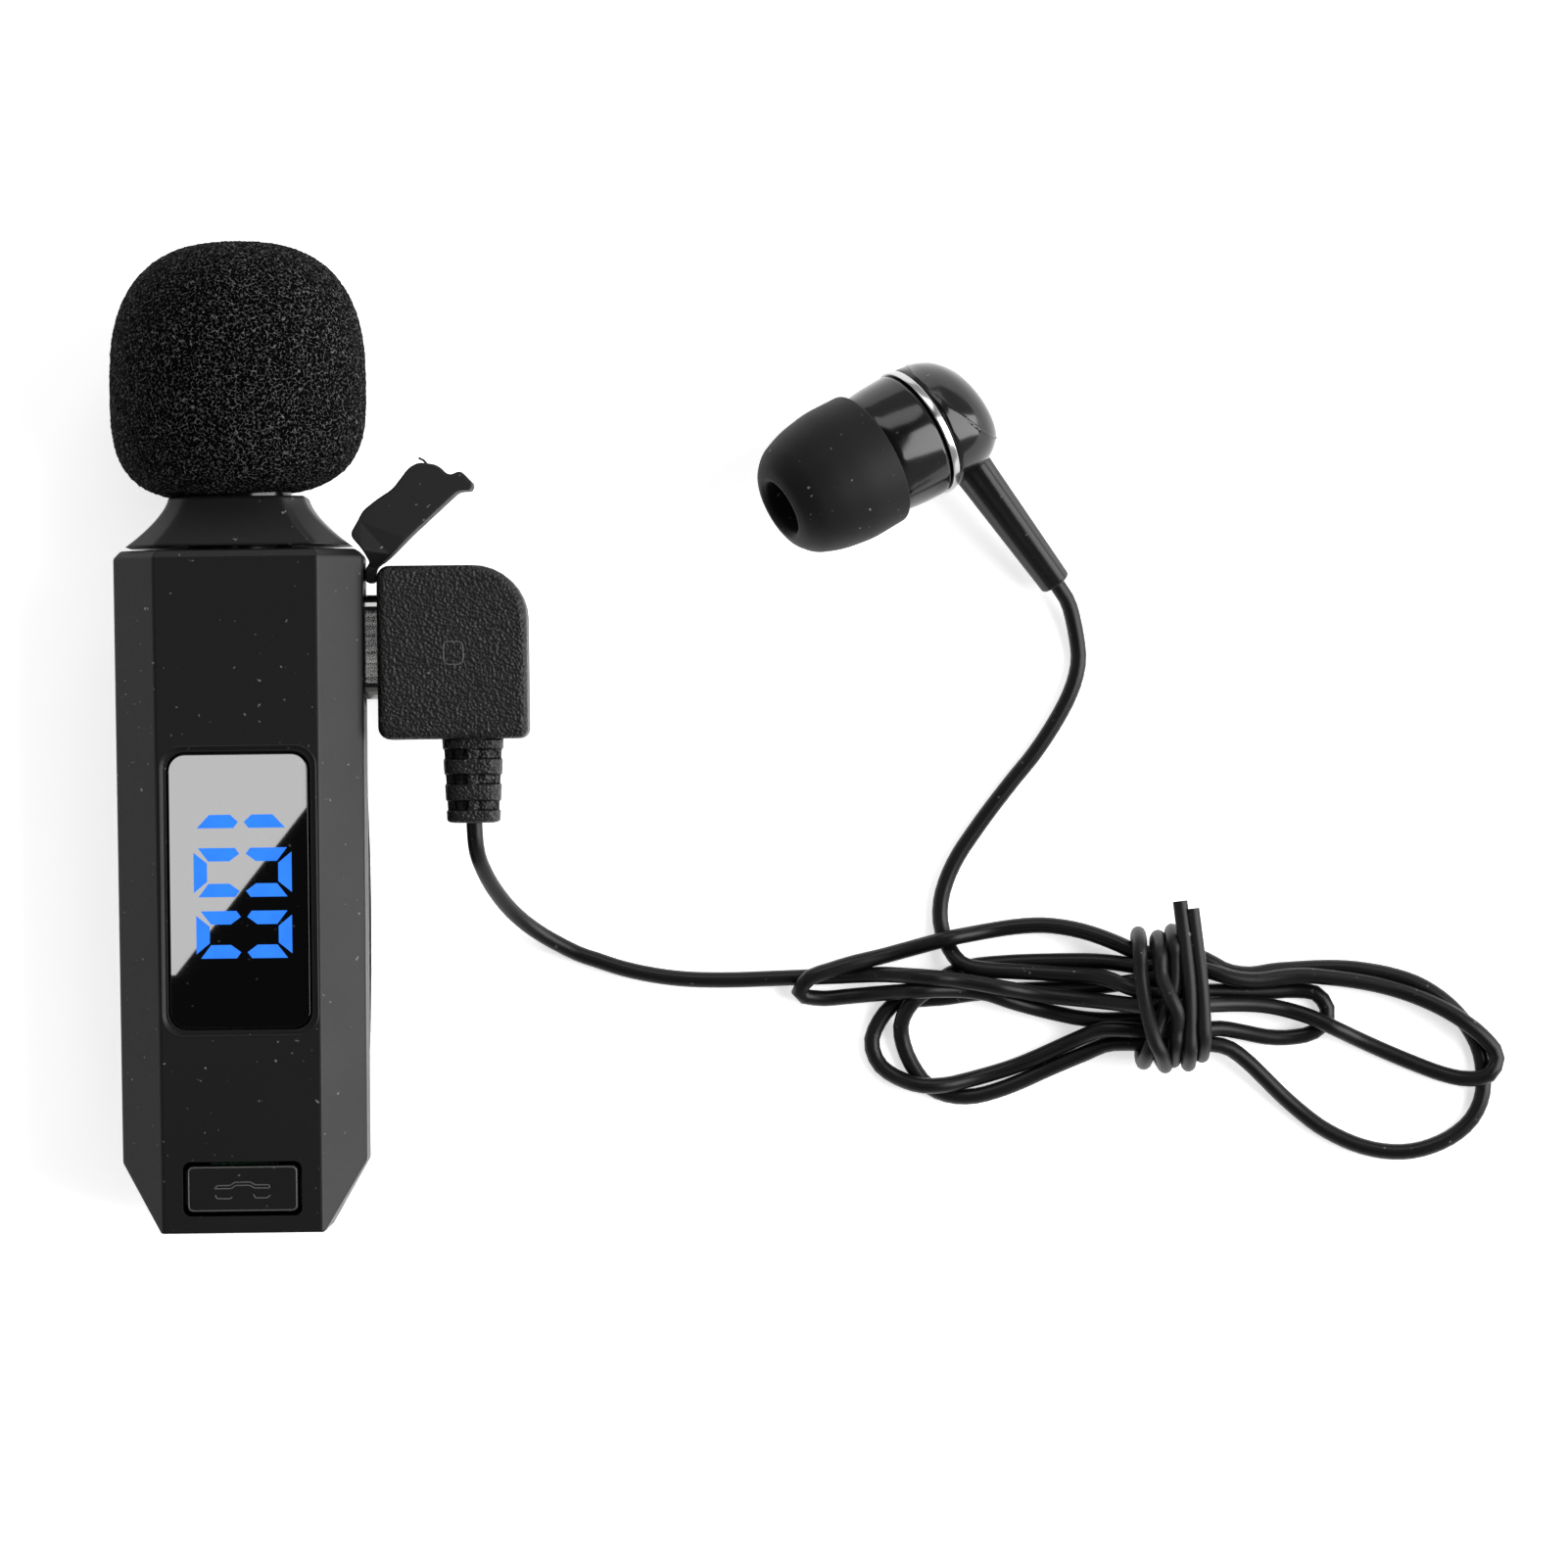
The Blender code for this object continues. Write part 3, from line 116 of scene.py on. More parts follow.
room = bpy.data.worlds.new("bright_room")
room.use_nodes = True
room_nodes = room.node_tree.nodes
room_way = room_nodes.new("ShaderNodeTexCoord")
room_split = room_nodes.new("ShaderNodeSeparateXYZ")
room_fade = room_nodes.new("ShaderNodeMapRange")
room_fade.interpolation_type = "SMOOTHSTEP"
for socket, value in (("From Min", 0.5), ("From Max", 0.92), ("To Min", 0.6), ("To Max", 0.03)):
    room_fade.inputs[socket].default_value = value
room.node_tree.links.new(room_way.outputs["Generated"], room_split.inputs["Vector"])
room.node_tree.links.new(room_split.outputs["Z"], room_fade.inputs["Value"])
room.node_tree.links.new(room_fade.outputs["Result"], room_nodes["Background"].inputs["Strength"])
room_nodes["Background"].inputs["Color"].default_value = (1, 1, 1, 1)
scene.world = room
soft_box("right_box", (0.75, 0.05, 0.42), (0.04, 0, 0), (0.6, 0.9), 13.5)
soft_box("left_box", (-0.8, 0.1, 0.5), (0.04, 0, 0), (0.5, 0.7), 0.5)
soft_box("back_box", (0.05, 0.8, 0.7), (0.04, 0, 0), (0.9, 0.4), 3.5)

# ------------------------------------------------------------------ cord
# The headset lead: a thin round rubber-jacketed cord from the plug to the earphone, doubled up in
# flat loops on the table and tied in the middle. Seven loops hang out of the tie.
cord_diameter = 1.3 * mm
cord_radius = cord_diameter / 2
tie_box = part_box("twist_tie")
tie_middle = (tie_box[0] + tie_box[1]) / 2
slots = [tie_middle.y / mm + 3.6 - 1.03 * i for i in range(8)]


def through_tie(slot, side):
    """Two points of a strand inside the tie, on its way to `side` (+1 right, -1 left)."""
    middle = tie_middle.x / mm
    low = 0 if slot % 2 else 1
    return [(middle - side * 1.8, slots[slot], low), (middle + side * 1.8, slots[slot], low)]


# Each point is across, up the body, and how many strands lie under it.
relief_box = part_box("cord_relief")
relief_x = (relief_box[0].x + relief_box[1].x) / 2 / mm
stem_end = Vector((65.3, 23.8, 1.9))
stem_way = Vector((6.3, -8.7, -2.3)).normalized()
cord_drop = [(18.5, 3.2, 10.0), (18.9, 1.6, 8.6), (19.8, -0.3, 6.2), (21.2, -2.2, 3.6), (23.2, -3.9, 1.7)]
plug_run = [(26.0, -5.5, 0), (30.0, -6.9, 0), (34.1, -7.7, 0), (38.2, -7.9, 0), (42.9, -7.8, 0),
            (47.6, -7.7, 0), (51.1, -7.6, 0), (55.5, -7.9, 1), (58.8, -8.4, 2), (61.2, -8.9, 2),
            (64.4, -9.5, 2), (67.2, -9.8, 1)]
right_crossing = [(79.2, -10.3, 1), (81.9, -10.5, 1), (85.0, -11.3, 2), (87.4, -12.4, 2), (90.3, -13.8, 1),
                  (93.7, -15.3, 0), (96.7, -16.4, 1), (98.9, -16.6, 2), (100.3, -15.9, 2), (100.4, -14.6, 2),
                  (99.2, -13.1, 2), (96.8, -11.3, 1), (93.7, -9.8, 0), (90.3, -8.8, 0), (86.3, -8.2, 1),
                  (83.9, -8.1, 1), (80.1, -8.4, 1)]
left_inner = [(69.0, -6.8, 0), (66.1, -6.7, 0), (60.7, -6.8, 0), (57.1, -7.3, 0), (54.7, -8.8, 0),
              (53.4, -9.7, 1), (52.6, -10.7, 1), (52.3, -12.0, 1), (52.5, -13.3, 0), (52.8, -14.4, 0),
              (53.8, -15.8, 0), (55.0, -17.1, 0), (57.4, -17.6, 0), (59.2, -17.3, 0), (61.0, -16.8, 0),
              (64.7, -15.2, 0), (67.1, -14.2, 0), (69.2, -13.4, 0)]
right_large = [(78.6, -13.8, 0), (80.5, -15.2, 0), (83.2, -17.9, 0), (86.2, -20.4, 0), (89.5, -22.0, 0),
               (92.6, -22.5, 0), (95.3, -22.0, 0), (97.5, -20.8, 0), (99.0, -19.0, 0), (99.4, -16.8, 0),
               (99.2, -14.6, 0), (98.1, -12.3, 0), (96.3, -10.3, 0), (93.7, -8.7, 1), (90.3, -7.8, 1),
               (87.0, -7.5, 0), (82.4, -7.7, 0), (79.4, -7.9, 0)]
left_upper = [(68.9, -4.9, 1), (66.7, -4.2, 1), (64.3, -3.8, 1), (61.5, -3.9, 1), (57.0, -4.6, 1),
              (55.6, -4.9, 1), (51.0, -6.1, 1), (48.3, -6.7, 1), (45.7, -7.5, 1), (44.6, -8.0, 1),
              (44.0, -8.7, 0), (44.5, -9.4, 0), (45.5, -9.5, 0), (47.3, -9.4, 0), (48.8, -9.3, 0),
              (50.9, -9.1, 1), (53.9, -8.9, 1), (56.7, -8.9, 0), (59.2, -9.2, 0), (61.8, -10.1, 0),
              (64.4, -10.8, 0), (66.6, -11.3, 0), (69.0, -11.5, 0)]
left_outer = [(69.0, -8.7, 0), (66.6, -8.9, 0), (62.6, -9.0, 0), (58.7, -9.2, 0), (55.5, -9.6, 0),
              (53.5, -9.7, 0), (52.0, -9.9, 0), (50.7, -11.2, 0), (50.0, -12.6, 0), (50.0, -13.6, 0),
              (50.4, -14.7, 0), (51.5, -15.7, 1), (53.4, -16.5, 1), (55.2, -16.6, 1), (56.4, -16.5, 1),
              (58.6, -16.0, 1), (61.1, -15.3, 0), (63.4, -14.4, 0), (66.1, -13.2, 1), (68.7, -12.2, 1)]
right_small = [(78.6, -12.3, 0), (80.6, -12.8, 0), (82.4, -13.1, 0), (83.9, -13.1, 0), (85.7, -12.7, 0),
               (86.7, -12.0, 0), (86.9, -11.0, 0), (86.6, -10.1, 0), (85.7, -9.5, 0), (83.9, -9.3, 0),
               (81.1, -9.4, 0), (79.2, -9.3, 0)]
ear_run = [(68.6, -8.0, 1), (66.1, -7.8, 1), (63.6, -7.6, 1), (60.6, -7.4, 1), (57.9, -7.1, 1),
           (56.7, -6.2, 0), (55.9, -4.6, 0), (55.6, -3.0, 0), (55.8, -1.2, 0), (56.8, 1.4, 0), (58.9, 4.5, 0),
           (61.3, 7.6, 0), (63.6, 10.4, 0), (65.6, 13.5, 0), (66.8, 16.2, 0), (67.1, 19.1, 0)]
inner_fold = [(74.9, slots[5], 1), (75.6, slots[5] + 0.75, 1), (75.7, slots[3] - 0.2, 1),
              (74.9, slots[2] + 0.1, 1)]

route = (plug_run + through_tie(4, 1) + right_crossing + through_tie(1, -1) + left_inner + through_tie(7, 1)
         + right_large + through_tie(0, -1) + left_upper + through_tie(5, 1)[:1] + inner_fold
         + through_tie(2, -1)[1:] + left_outer + through_tie(6, 1) + right_small + through_tie(3, -1) + ear_run)


def smooth_line(points, spacing):
    """Points at an even spacing on the Catmull-Rom curve through the given ones."""
    points = [np.array(p, float) for p in points]
    points = [2 * points[0] - points[1]] + points + [2 * points[-1] - points[-2]]
    fine = []
    for a, b, c, d in zip(points, points[1:], points[2:], points[3:]):
        for t in np.arange(0, 1, 1 / 12):
            fine.append(0.5 * (2 * b + (c - a) * t + (2 * a - 5 * b + 4 * c - d) * t ** 2
                               + (3 * b - a - 3 * c + d) * t ** 3))
    fine = np.array(fine + [points[-2]])
    along = np.concatenate([[0], np.cumsum(np.linalg.norm(np.diff(fine, axis=0), axis=1))])
    wanted = np.linspace(0, along[-1], max(2, round(along[-1] / spacing)) + 1)
    return np.stack([np.interp(wanted, along, fine[:, axis]) for axis in range(fine.shape[1])], 1)


def crossings(touching):
    """Numbers each patch of the square table where one stretch of cord lies against another."""
    count = len(touching)
    mark = np.where(touching, np.arange(1, count * count + 1).reshape(count, count), 0)
    while True:
        spread = np.pad(mark, 1)
        around = [spread[i:count + i, j:count + j] for i in range(3) for j in range(3)]
        wider = np.max(around, 0)
        wider = np.where(touching, wider, 0)
        if (wider == mark).all():
            return mark
        mark = wider


def lay_down(line, levels, radius, lift):
    """Heights of a cord lying on the table; where stretches cross, the higher level is on top."""
    gap = np.linalg.norm(line[:, None, :2] - line[None, :, :2], axis=2)
    place = np.arange(len(line))
    touching = (gap < 2 * radius) & (np.abs(place[:, None] - place[None, :]) > 8)
    need = np.where(touching, np.sqrt(np.maximum(4 * radius ** 2 - gap ** 2, 0)) * 1.02, 0)
    patch = crossings(touching)
    over = np.bincount(patch.ravel(), weights=(need * (levels[:, None] - levels[None, :])).ravel())[patch]
    over = np.where(over == 0, place[:, None] - place[None, :], over) > 0
    ground = radius + lift
    height = ground + levels * radius
    for turn in range(400):
        height = height - 0.05 * radius
        bent = height.copy()
        bent[2:-2] = (height[:-4] + 4 * height[1:-3] + 6 * height[2:-2] + 4 * height[3:-1] + height[4:]) / 16
        height = np.maximum(bent, ground)
        for _ in range(4):
            short = np.where(touching & over, need - height[:, None] + height[None, :], 0)
            up = np.maximum(short, 0).max(axis=1)
            down = np.maximum(short, 0).max(axis=0)
            height = np.maximum(height + 0.5 * up - 0.5 * down * (turn < 300), ground)
    return height


flat_route = smooth_line([(x * mm, y * mm, level * cord_radius) for x, y, level in route], 0.65 * mm)
tie_reach = (tie_box[1].x - tie_box[0].x) / 2
from_tie = np.abs(flat_route[:, 0] - tie_middle.x)
under_wire = 1.25 * mm * np.clip(1.5 - from_tie / (2.2 * tie_reach), 0, 1)
under_wire *= np.abs(flat_route[:, 1] - tie_middle.y) < 8 * mm
heights = lay_down(flat_route, flat_route[:, 2] / cord_radius, cord_radius, under_wire)
lying = np.column_stack([flat_route[:, :2], heights])
cord_start = Vector((relief_x * mm, relief_box[0].y + 1.2 * mm, port_z))
drop = [cord_start] + [Vector(p) * mm for p in cord_drop]
rise = [Vector((66.4, 21.9, 1.25)) * mm, (stem_end + stem_way * 0.3) * mm, (stem_end - stem_way * 0.9) * mm]
cord_line = smooth_line([tuple(p) for part in (drop, lying[::3], rise) for p in part], 0.8 * mm)



def group_socket(group, name, kind, inward=True, value=None):
    made = group.interface.new_socket(name, in_out="INPUT" if inward else "OUTPUT",
                                      socket_type=f"NodeSocket{kind}")
    if value is not None:
        made.default_value = value


def node(tree, kind, values=(), links=(), **settings):
    """Adds a shader node; values are (socket, value) pairs and links (socket, output) pairs."""
    made = tree.nodes.new("ShaderNode" + kind)
    for key, value in settings.items():
        setattr(made, key, value)
    for socket, value in values:
        made.inputs[socket].default_value = value
    for socket, output in links:
        tree.links.new(output, made.inputs[socket])
    return made


# The moulded surface that plastics and rubbers share: a fine pebbled grain, softly uneven gloss
# and a little pale dust. Sizes are in millimetres of grain; heights come out as 0 to 1.
moulded_surface = bpy.data.node_groups.new("moulded_surface", "ShaderNodeTree")
for name, kind, value in (("Color", "Color", (0.02, 0.02, 0.02, 1)), ("Roughness", "Float", 0.5),
                          ("Grain Size", "Float", 0.2), ("Pebbles", "Float", 0.0), ("Dust", "Float", 0.3)):
    group_socket(moulded_surface, name, kind, value=value)
for name, kind in (("Color", "Color"), ("Roughness", "Float"), ("Height", "Float")):
    group_socket(moulded_surface, name, kind, inward=False)
given = moulded_surface.nodes.new("NodeGroupInput")
place = node(moulded_surface, "TexCoord")
grain_scale = node(moulded_surface, "Math", [(0, 1000.0)], [(1, given.outputs["Grain Size"])],
                   operation="DIVIDE")
fine = node(moulded_surface, "TexNoise", [("Detail", 2.0), ("Roughness", 0.55)],
            [("Vector", place.outputs["Object"]), ("Scale", grain_scale.outputs[0])])
pebble = node(moulded_surface, "TexVoronoi", [("Smoothness", 0.6)],
              [("Vector", place.outputs["Object"]), ("Scale", grain_scale.outputs[0])], feature="SMOOTH_F1")
height = node(moulded_surface, "Mix", [], [("Factor", given.outputs["Pebbles"]), ("A", fine.outputs["Fac"]),
                                           ("B", pebble.outputs["Distance"])], data_type="FLOAT")
cloudy = node(moulded_surface, "TexNoise", [("Scale", 130.0), ("Detail", 3.0)],
              [("Vector", place.outputs["Object"])])
gloss_shift = node(moulded_surface, "MapRange", [("To Min", -0.07), ("To Max", 0.07)],
                   [("Value", cloudy.outputs["Fac"])])
speck = node(moulded_surface, "TexNoise", [("Scale", 1900.0), ("Detail", 1.0)],
             [("Vector", place.outputs["Object"])])
speck_cut = node(moulded_surface, "MapRange", [("From Min", 0.74), ("From Max", 0.82)],
                 [("Value", speck.outputs["Fac"])])
dust = node(moulded_surface, "Math", [], [(0, speck_cut.outputs["Result"]), (1, given.outputs["Dust"])],
            operation="MULTIPLY")
tint = node(moulded_surface, "MapRange", [("To Min", 0.86), ("To Max", 1.14)],
            [("Value", cloudy.outputs["Fac"])])
shaded = node(moulded_surface, "Mix", [("Factor", 1.0)],
              [("A", given.outputs["Color"]), ("B", tint.outputs["Result"])],
              data_type="RGBA", blend_type="MULTIPLY")
dusty = node(moulded_surface, "Mix", [("B", (0.35, 0.35, 0.34, 1))],
             [("Factor", dust.outputs[0]), ("A", shaded.outputs["Result"])], data_type="RGBA")
rough = node(moulded_surface, "Math", [], [(0, given.outputs["Roughness"]), (1, gloss_shift.outputs["Result"])],
             operation="ADD", use_clamp=True)
put_out = moulded_surface.nodes.new("NodeGroupOutput")
moulded_surface.links.new(dusty.outputs["Result"], put_out.inputs["Color"])
moulded_surface.links.new(rough.outputs[0], put_out.inputs["Roughness"])
moulded_surface.links.new(height.outputs["Result"], put_out.inputs["Height"])


def moulded(name, color, roughness, grain=0.2, depth=0.01, pebbles=0.0, dust=0.3, **sockets):
    """A plastic or rubber; grain and depth are the pebbles' width and height in millimetres."""
    made = bpy.data.materials.new(name)
    tree, shader = nodes_of(made)
    surface = node(tree, "Group", node_tree=moulded_surface)
    surface.inputs["Color"].default_value = (*color, 1) if isinstance(color, tuple) else (color,) * 3 + (1,)
    for socket, value in zip(("Roughness", "Grain Size", "Pebbles", "Dust"), (roughness, grain, pebbles, dust)):
        surface.inputs[socket].default_value = value
    bump = node(tree, "Bump", [("Distance", depth * mm)], [("Height", surface.outputs["Height"])])
    tree.links.new(surface.outputs["Color"], shader.inputs["Base Color"])
    tree.links.new(surface.outputs["Roughness"], shader.inputs["Roughness"])
    tree.links.new(bump.outputs["Normal"], shader.inputs["Normal"])
    shader.inputs["Specular IOR Level"].default_value = 0.2
    for socket, value in sockets.items():
        shader.inputs[socket.replace("_", " ")].default_value = value
    return made


def wire(name, points, radius, finish, body, resolution=5):
    """A round wire along the points, with closed ends, that rides on a body."""
    curve = bpy.data.curves.new(name, "CURVE")
    curve.dimensions = "3D"
    curve.bevel_depth = radius
    curve.bevel_resolution = resolution
    curve.use_fill_caps = True
    line = curve.splines.new("POLY")
    line.points.add(len(points) - 1)
    for point, spot in zip(line.points, points):
        point.co = (*spot, 1)
    line.use_smooth = True
    made = bpy.data.objects.new(name, curve)
    scene.collection.objects.link(made)
    curve.materials.append(finish)
    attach(made, body)
    return made


cord_jacket = moulded("cord_jacket", 0.0035, 0.36, grain=0.35, depth=0.006, dust=0.25)
cord = wire("headset_cord", cord_line, cord_radius, cord_jacket, "headset")
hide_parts("plug_lead", "cord_hank", "ear_lead")

# ------------------------------------------------------------------ twist tie
# A soft wire in a thick black rubber coat, wound five times round the bunched cord by hand. Both cut
# ends stand out at the top, and the fold between its two halves is tucked under the bunch.
tie_radius = 0.6 * mm
bunch = np.abs(flat_route[:, 0] - tie_middle.x) < tie_reach
bunch_top = heights[bunch].max() + cord_radius
tie_heights = [tie_radius, bunch_top + tie_radius, bunch_top + 2.85 * tie_radius]
tie_route = [
    (74.75, -1.9, 1.0), (74.95, -3.7, 1.1), (75.15, -5.7, 1.2), (75.4, -8.8, 1.3), (75.45, -12.0, 1.2),
    (75.4, -14.0, 1.0), (75.4, -15.1, 0.5), (75.5, -13.9, 0), (75.3, -11.0, 0), (73.6, -7.0, 0), (73.1, -5.6, 0),
    (73.1, -4.8, 0.5), (73.1, -6.0, 1.2), (73.15, -7.8, 1.5), (73.8, -9.5, 2.0), (74.35, -10.8, 1.9),
    (74.35, -12.2, 1.3), (74.25, -13.6, 1.0), (74.2, -14.8, 0.5), (74.2, -13.7, 0), (74.0, -11.0, 0),
    (72.2, -7.0, 0), (71.6, -5.4, 0), (71.5, -4.5, 0.5), (71.5, -5.6, 1.1), (71.55, -7.8, 1.1), (71.9, -10.3, 1.3),
    (72.5, -12.9, 2.0), (73.1, -14.2, 1.5), (73.5, -15.2, 0.6), (73.0, -14.2, 0), (72.4, -13.4, 0),
    (71.8, -14.0, 0), (71.8, -14.9, 0.5), (72.1, -13.9, 1.0), (72.8, -12.2, 1.0), (73.6, -10.3, 1.0),
    (74.2, -8.6, 1.0), (74.3, -6.5, 1.0), (74.2, -5.2, 1.0), (74.2, -4.3, 0.5), (74.4, -5.4, 0), (75.1, -8.0, 0),
    (76.7, -12.0, 0), (76.7, -13.5, 0), (76.5, -14.4, 0.5), (76.55, -13.0, 1.0), (76.5, -10.4, 1.0),
    (76.3, -7.8, 1.0), (76.0, -5.1, 1.0), (75.7, -2.5, 1.0)]
tie_points = [(x * mm, y * mm, np.interp(level, (0, 1, 2), tie_heights)) for x, y, level in tie_route]
tie_line = smooth_line(tie_points, 0.35 * mm)
tie_rubber = moulded("tie_rubber", 0.005, 0.45, grain=0.3, depth=0.008, dust=0.3)
tie = wire("twist_tie_wire", tie_line, tie_radius, tie_rubber, "headset")
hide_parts("twist_tie")

# ------------------------------------------------------------------ plug and strain relief
# The plug's moulded grip, in black plastic with a leather-like grain and one large corner, on a
# drawn steel shell. Its ribbed relief is moulded with the cord and lets it bend.


def softened(profile, radius, steps=5):
    """The open outline with each inner corner rounded off by up to `radius`."""
    points = [Vector((*p, 0)) for p in profile]
    made = [profile[0]]
    for before, corner, after in zip(points, points[1:], points[2:]):
        reach = min(radius, (corner - before).length * 0.45, (after - corner).length * 0.45)
        start = corner + (before - corner).normalized() * reach
        end = corner + (after - corner).normalized() * reach
        for i in range(steps + 1):
            t = i / steps
            spot = start.lerp(corner, t).lerp(corner.lerp(end, t), t)
            made.append((spot.x, spot.y))
    return made + [profile[-1]]


def piece(name, points, faces, finish, body, slot_name, replaced=(), soft=True):
    """A closed mesh in the given finish that rides on a body and stands for CAD nodes; slot_name is not used."""
    mesh = bpy.data.meshes.new(name)
    mesh.from_pydata([tuple(p) for p in points], [], faces)
    mesh.validate()
    shape = bmesh.new()
    shape.from_mesh(mesh)
    bmesh.ops.remove_doubles(shape, verts=shape.verts, dist=1e-7)
    bmesh.ops.recalc_face_normals(shape, faces=shape.faces)
    shape.to_mesh(mesh)
    shape.free()
    mesh.polygons.foreach_set("use_smooth", [soft and len(face.vertices) < 5 for face in mesh.polygons])
    mesh.materials.append(finish)
    made = bpy.data.objects.new(name, mesh)
    scene.collection.objects.link(made)
    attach(made, body)
    if replaced:
        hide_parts(*replaced)
    return made


def stacked(rings, closed=False):
    """Points and faces of a skin over rings of equal count; the end rings are capped unless closed."""
    count = len(rings[0])
    points = [p for ring in rings for p in ring]
    faces = []
    pairs = list(zip(range(len(rings)), range(1, len(rings)))) + ([(len(rings) - 1, 0)] if closed else [])
    for low, high in pairs:
        for i in range(count):
            j = (i + 1) % count
            faces.append((low * count + i, low * count + j, high * count + j, high * count + i))
    if not closed:
        faces.append(tuple(range(count)))
        faces.append(tuple(range((len(rings) - 1) * count, len(rings) * count)))
    return points, faces


def lathed(profile, place, steps=96, closed=False, shift=None):
    """A turned skin of (radius, height) points about the +Z of `place`."""
    rings = []
    for radius, rise in profile:
        ring = []
        for i in range(steps):
            angle = math.tau * i / steps
            spread = max(radius, 1e-6) + (shift(rise, angle) if shift else 0)
            ring.append(place @ Vector((spread * math.cos(angle), spread * math.sin(angle), rise)))
        rings.append(ring)
    return stacked(rings, closed)


def inward(outline, distance):
    """The outline moved in along its own normals."""
    made = []
    for i, spot in enumerate(outline):
        way = (Vector(outline[(i + 1) % len(outline)]) - Vector(outline[i - 1])).normalized()
        made.append((spot[0] - way.y * distance, spot[1] + way.x * distance))
    return made


def slab(outline, low, high, edge, lower_edge=None):
    """A plate with rounded rims; its outline runs counter-clockwise."""
    rings = []
    lower_edge = edge if lower_edge is None else lower_edge
    for i in range(6):
        angle = math.pi / 2 * i / 5
        rings.append((lower_edge * (1 - math.sin(angle)), low + lower_edge * (1 - math.cos(angle))))
    for i in range(6):
        angle = math.pi / 2 * i / 5
        rings.append((edge * (1 - math.cos(angle)), high - edge * (1 - math.sin(angle))))
    skin = [[Vector((x, y, z)) for x, y in inward(outline, inset)] for inset, z in rings]
    return stacked(skin)


def rounded_box(width, height, radii, middle=(0, 0), steps=8):
    """Counter-clockwise outline of a rectangle; radii run from the upper right corner."""
    outline = []
    for quarter, ((sx, sy), radius) in enumerate(zip(((1, 1), (-1, 1), (-1, -1), (1, -1)), radii)):
        for step in range(steps + 1):
            angle = math.pi / 2 * (quarter + step / steps)
            outline.append((middle[0] + sx * (width / 2 - radius) + radius * math.cos(angle),
                            middle[1] + sy * (height / 2 - radius) + radius * math.sin(angle)))
    return outline


def middle_of(node_name):
    low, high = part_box(node_name)
    return (low + high) / 2


def size_of(node_name):
    low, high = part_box(node_name)
    return high - low


grip_low, grip_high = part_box("plug_grip")
grip_middle = middle_of("plug_grip")
grip_size = size_of("plug_grip")
grip_plastic = moulded("grip_plastic", 0.0045, 0.42, grain=0.24, depth=0.22, pebbles=0.6, dust=0.2,
                       Specular_IOR_Level=0.27)
grip_outline = rounded_box(grip_size.x, grip_size.y, (4.3 * mm, 1.0 * mm, 1.0 * mm, 0.8 * mm), grip_middle[:2])
grip = piece("plug_grip_moulding", *slab(grip_outline, grip_low.z, grip_high.z, 0.6 * mm),
             grip_plastic, "headset", "grip_plastic", ["plug_grip"])
mark_outline = rounded_box(1.55 * mm, 1.8 * mm, (0.4 * mm, 0.3 * mm, 0.45 * mm, 0.45 * mm),
                           (grip_middle.x + 0.1 * mm, grip_middle.y - 0.1 * mm))
mark_z = grip_high.z - 0.005 * mm
# Raised marks and rims are painted a lighter grey than the plastic, a painted highlight along their ridges.
painted_highlight_ridge = moulded("painted_highlight_ridge", 0.07, 0.3, grain=0.3, depth=0.002, dust=0.2)
wire("gate_mark", [(x, y, mark_z) for x, y in mark_outline + mark_outline[:1]], 0.05 * mm, painted_highlight_ridge,
     "headset", 3)

relief_length = 6.7 * mm
relief_root = Matrix.Translation((relief_x * mm, relief_box[1].y + 0.3 * mm, port_z))
relief_place = relief_root @ Matrix.Rotation(math.radians(90), 4, "X")
relief_top = 2.45 * mm
relief_foot = 2.1 * mm
relief_grooves = (0.18, 0.48, 0.79)
groove_half = 0.065
relief_corner = 3.2
foot_round = 0.045


def relief_groove(rise, angle):
    """The relief is square in section, and slots sink into its flat faces beside a middle bridge."""
    share = rise / relief_length
    across, up = abs(math.cos(angle)), abs(math.sin(angle))
    square = (across ** relief_corner + (up / 0.94) ** relief_corner) ** (-1 / relief_corner) - 1
    sunk = max(min(max((groove_half - abs(share - at)) / 0.015, 0), 1) for at in relief_grooves)
    flat = min(max((up - 0.3) / 0.2, 0), 1) * min(max((across - 0.2) / 0.06, 0), 1)
    body = min(rise, relief_length - rise, 0.4 * mm) / (0.4 * mm)
    return (relief_top * square - 0.62 * mm * sunk * flat - 0.12 * mm * sunk) * min(body * 4, 1)


relief_profile = [(0, 0)]
for i in range(121):
    share = i / 120
    tuck = max(share - 1 + foot_round, 0) / foot_round
    rounding = 0.55 * mm * (1 - math.sqrt(max(1 - tuck ** 2, 0)))
    relief_profile.append((relief_top + (relief_foot - relief_top) * share - rounding, relief_length * share))
relief_profile.append((0, relief_length))
relief = piece("ribbed_relief", *lathed(relief_profile, relief_place, 120, shift=relief_groove), grip_plastic,
               "headset", "grip_plastic", ["cord_relief"])


def carry(names, finish, rim=None):
    """CAD nodes that stay as they are, in their real finish, with their hard edges eased by `rim`."""
    for name in names:
        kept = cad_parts[name]
        if not kept.material_slots:
            kept.data.materials.append(finish)
        for slot_on in kept.material_slots:
            slot_on.material = finish
        if rim:
            joined = kept.modifiers.new("joined", "WELD")
            joined.merge_threshold = 1e-6
            eased = kept.modifiers.new("eased", "BEVEL")
            eased.width = rim
            eased.segments = 3
            eased.limit_method = "ANGLE"
            eased.angle_limit = math.radians(28)
            eased.harden_normals = True


